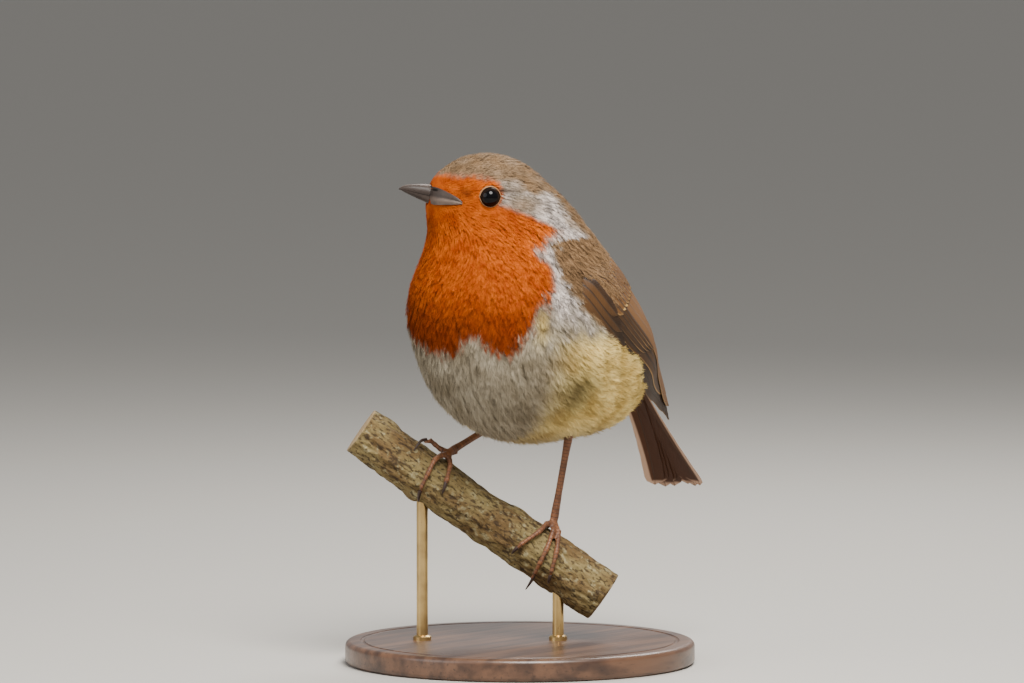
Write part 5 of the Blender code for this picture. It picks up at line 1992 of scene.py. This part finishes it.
@dataclass
class Stand:
    """The turned base and the two rods that carry the branch."""

    thickness: float = 6 * MM
    edge: float = 1.4 * MM
    groove_inset: float = 4 * MM
    groove_half: float = 0.6 * MM
    groove_depth: float = 0.35 * MM
    collar: float = 2.4 * MM

    def build(self) -> None:
        """Turns the base and the rods."""
        self.base(WoodFinish("turned_wood"))
        brass = BrassFinish("drawn_brass")
        for number in (1, 2):
            self.rod(number, brass)

    def base(self, finish: Finish) -> None:
        """The base: a disc with rounded edges and a shallow groove near its rim."""
        low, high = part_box("stand_base")
        rim, top, round_off = (high.x - low.x) / 2, high.z, self.edge
        turns = [math.pi / 2 * step / 8 for step in range(9)]
        outline = [(0.0, 0.0)]
        outline += [(rim - round_off * (1 - math.sin(k)), round_off * (1 - math.cos(k))) for k in turns]
        outline += [(rim - round_off * (1 - math.cos(k)), top - round_off * (1 - math.sin(k))) for k in turns]
        groove = rim - self.groove_inset
        outline += [
            (groove - self.groove_half * (1 - math.cos(2 * k)), top - self.groove_depth * math.sin(2 * k))
            for k in turns
        ]
        outline.append((0.0, top))
        bm = turned(outline, 128)
        bmesh.ops.recalc_face_normals(bm, faces=bm.faces)
        stand_in(finished("stand_turned_base", bm, finish, 50), "stand_wood", "stand_base")

    def rod(self, number: int, finish: Finish) -> None:
        """A rod with a small collar where it stands in the base.

        Args:
            number: which rod.
            finish: its finish.
        """
        low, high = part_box(f"stand_rod_{number}")
        middle, radius = (low + high) / 2, (high.x - low.x) / 2
        floor = self.thickness
        outline = [(0.0, low.z), (radius, low.z), (radius, floor - 0.2 * MM)]
        outline += [(self.collar, floor - 0.2 * MM), (self.collar, floor + 0.9 * MM)]
        outline += [(self.collar - 0.35 * MM, floor + 1.25 * MM), (radius, floor + 1.35 * MM)]
        outline += [(radius, high.z), (0.0, high.z)]
        bm = turned(outline, 48)
        bmesh.ops.recalc_face_normals(bm, faces=bm.faces)
        bmesh.ops.translate(bm, verts=bm.verts, vec=(middle.x, middle.y, 0.0))
        stand_in(finished(f"stand_brass_rod_{number}", bm, finish, 40), "stand_brass", f"stand_rod_{number}")


# ---- studio
@dataclass
class Studio:
    """The floor, the soft lights and the camera."""

    target: Vector = field(default_factory=lambda: STANCE.view_right * (-2.1 * MM))
    target_rise: float = 84.5 * MM
    distance: float = 3.0
    lens: float = 400.8

    def build(self) -> None:
        """Makes the floor, lights, world and camera."""
        self.floor()
        self.world()
        self.light("key", (14, 52), 0.55, 7.5, (1.0, 0.97, 0.92), 0.30)
        self.light("fill", (-60, 20), 0.8, 2.6, (0.97, 0.98, 1.0), 0.6)
        self.light("back", (160, 45), 0.6, 4.0, (1.0, 0.98, 0.95), 0.4)
        self.camera()

    def floor(self) -> None:
        """A plain pale floor."""
        bm = bmesh.new()
        bmesh.ops.create_grid(bm, x_segments=4, y_segments=4, size=3.0)
        finish = Finish("studio_floor")
        finish.paint((0.44, 0.42, 0.385), 0.8)
        finished("studio_floor", bm, finish)

    def world(self) -> None:
        """Even pale light from all round."""
        world = bpy.data.worlds.new("studio")
        world.use_nodes = True
        shade = world.node_tree.nodes["Background"]
        shade.inputs["Color"].default_value = (0.93, 0.93, 0.93, 1.0)
        shade.inputs["Strength"].default_value = 0.40
        bpy.context.scene.world = world

    def light(
        self, name: str, way: tuple[float, float], off: float, power: float, colour: Colour, size: float
    ) -> None:
        """A soft round light aimed at the bird.

        Args:
            name: the light's name.
            way: degrees round from the viewer, to the right, and degrees up.
            off: how far it stands off, in metres.
            power: in watts.
            colour: its colour.
            size: its width in metres.
        """
        lamp = bpy.data.lights.new(name, "AREA")
        lamp.shape, lamp.energy, lamp.color, lamp.size = "DISK", power, colour, size
        obj = placed(name, lamp)
        turn = STANCE.view_yaw + math.radians(way[0])
        rise = math.radians(way[1])
        toward = Vector((math.sin(turn) * math.cos(rise), -math.cos(turn) * math.cos(rise), math.sin(rise)))
        aim = Vector((0.0, 0.0, 0.085))
        obj.location = aim + toward * off
        obj.rotation_euler = toward.to_track_quat("Z", "Y").to_euler()

    def camera(self) -> None:
        """The camera, level with the perch and slightly above, far off through a long lens."""
        near = Vector(STANCE.near)
        toward = near * math.cos(STANCE.view_rise) + UP * math.sin(STANCE.view_rise)
        above = UP * math.cos(STANCE.view_rise) - near * math.sin(STANCE.view_rise)
        lens = bpy.data.cameras.new("camera")
        lens.lens, lens.sensor_width, lens.clip_start = self.lens, 36.0, 0.1
        obj = placed("camera", lens)
        obj.location = self.target + above * self.target_rise + toward * self.distance
        obj.rotation_euler = toward.to_track_quat("Z", "Y").to_euler()
        bpy.context.scene.camera = obj


def main() -> None:
    """Builds the whole scene round the frame."""
    logging.basicConfig(level=logging.INFO, format="%(name)s %(message)s")
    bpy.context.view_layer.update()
    Studio().build()
    plumage = Plumage()
    skin = Skin(plumage)
    skin.build()
    coat = Coat(skin, plumage)
    coat.build()
    webs = VaneFinish("wing_vanes", (0.022, 0.010, 0.004), (0.150, 0.068, 0.021), (0.36, 0.21, 0.08), 0.02)
    bed = Finish("wing_bed").paint((0.03, 0.02, 0.014), 0.8)
    for side in ("left", "right"):
        Wing(side, coat, webs, bed).build()
    rump = VaneFinish("tail_vanes", (0.060, 0.021, 0.008), (0.105, 0.038, 0.014), (0.60, 0.39, 0.27), 0.045)
    Tail(rump).build()
    Bill(HornFinish("bill_horn", (0.036, 0.027, 0.023), (0.20, 0.145, 0.115), 0.15), skin.obj).build()
    ball, lids = EyeFinish("eye"), LidFinish("eyelids")
    for side in ("left", "right"):
        Eye(side).build(ball, lids)
    leg, claw = LegFinish("leg_skin"), HornFinish("claw_horn", (0.035, 0.020, 0.016), (0.12, 0.07, 0.05), 0.3)
    for side in ("left", "right"):
        Foot(side).build(leg, claw)
    Perch().build()
    Stand().build()


if __name__ == "__main__":
    main()
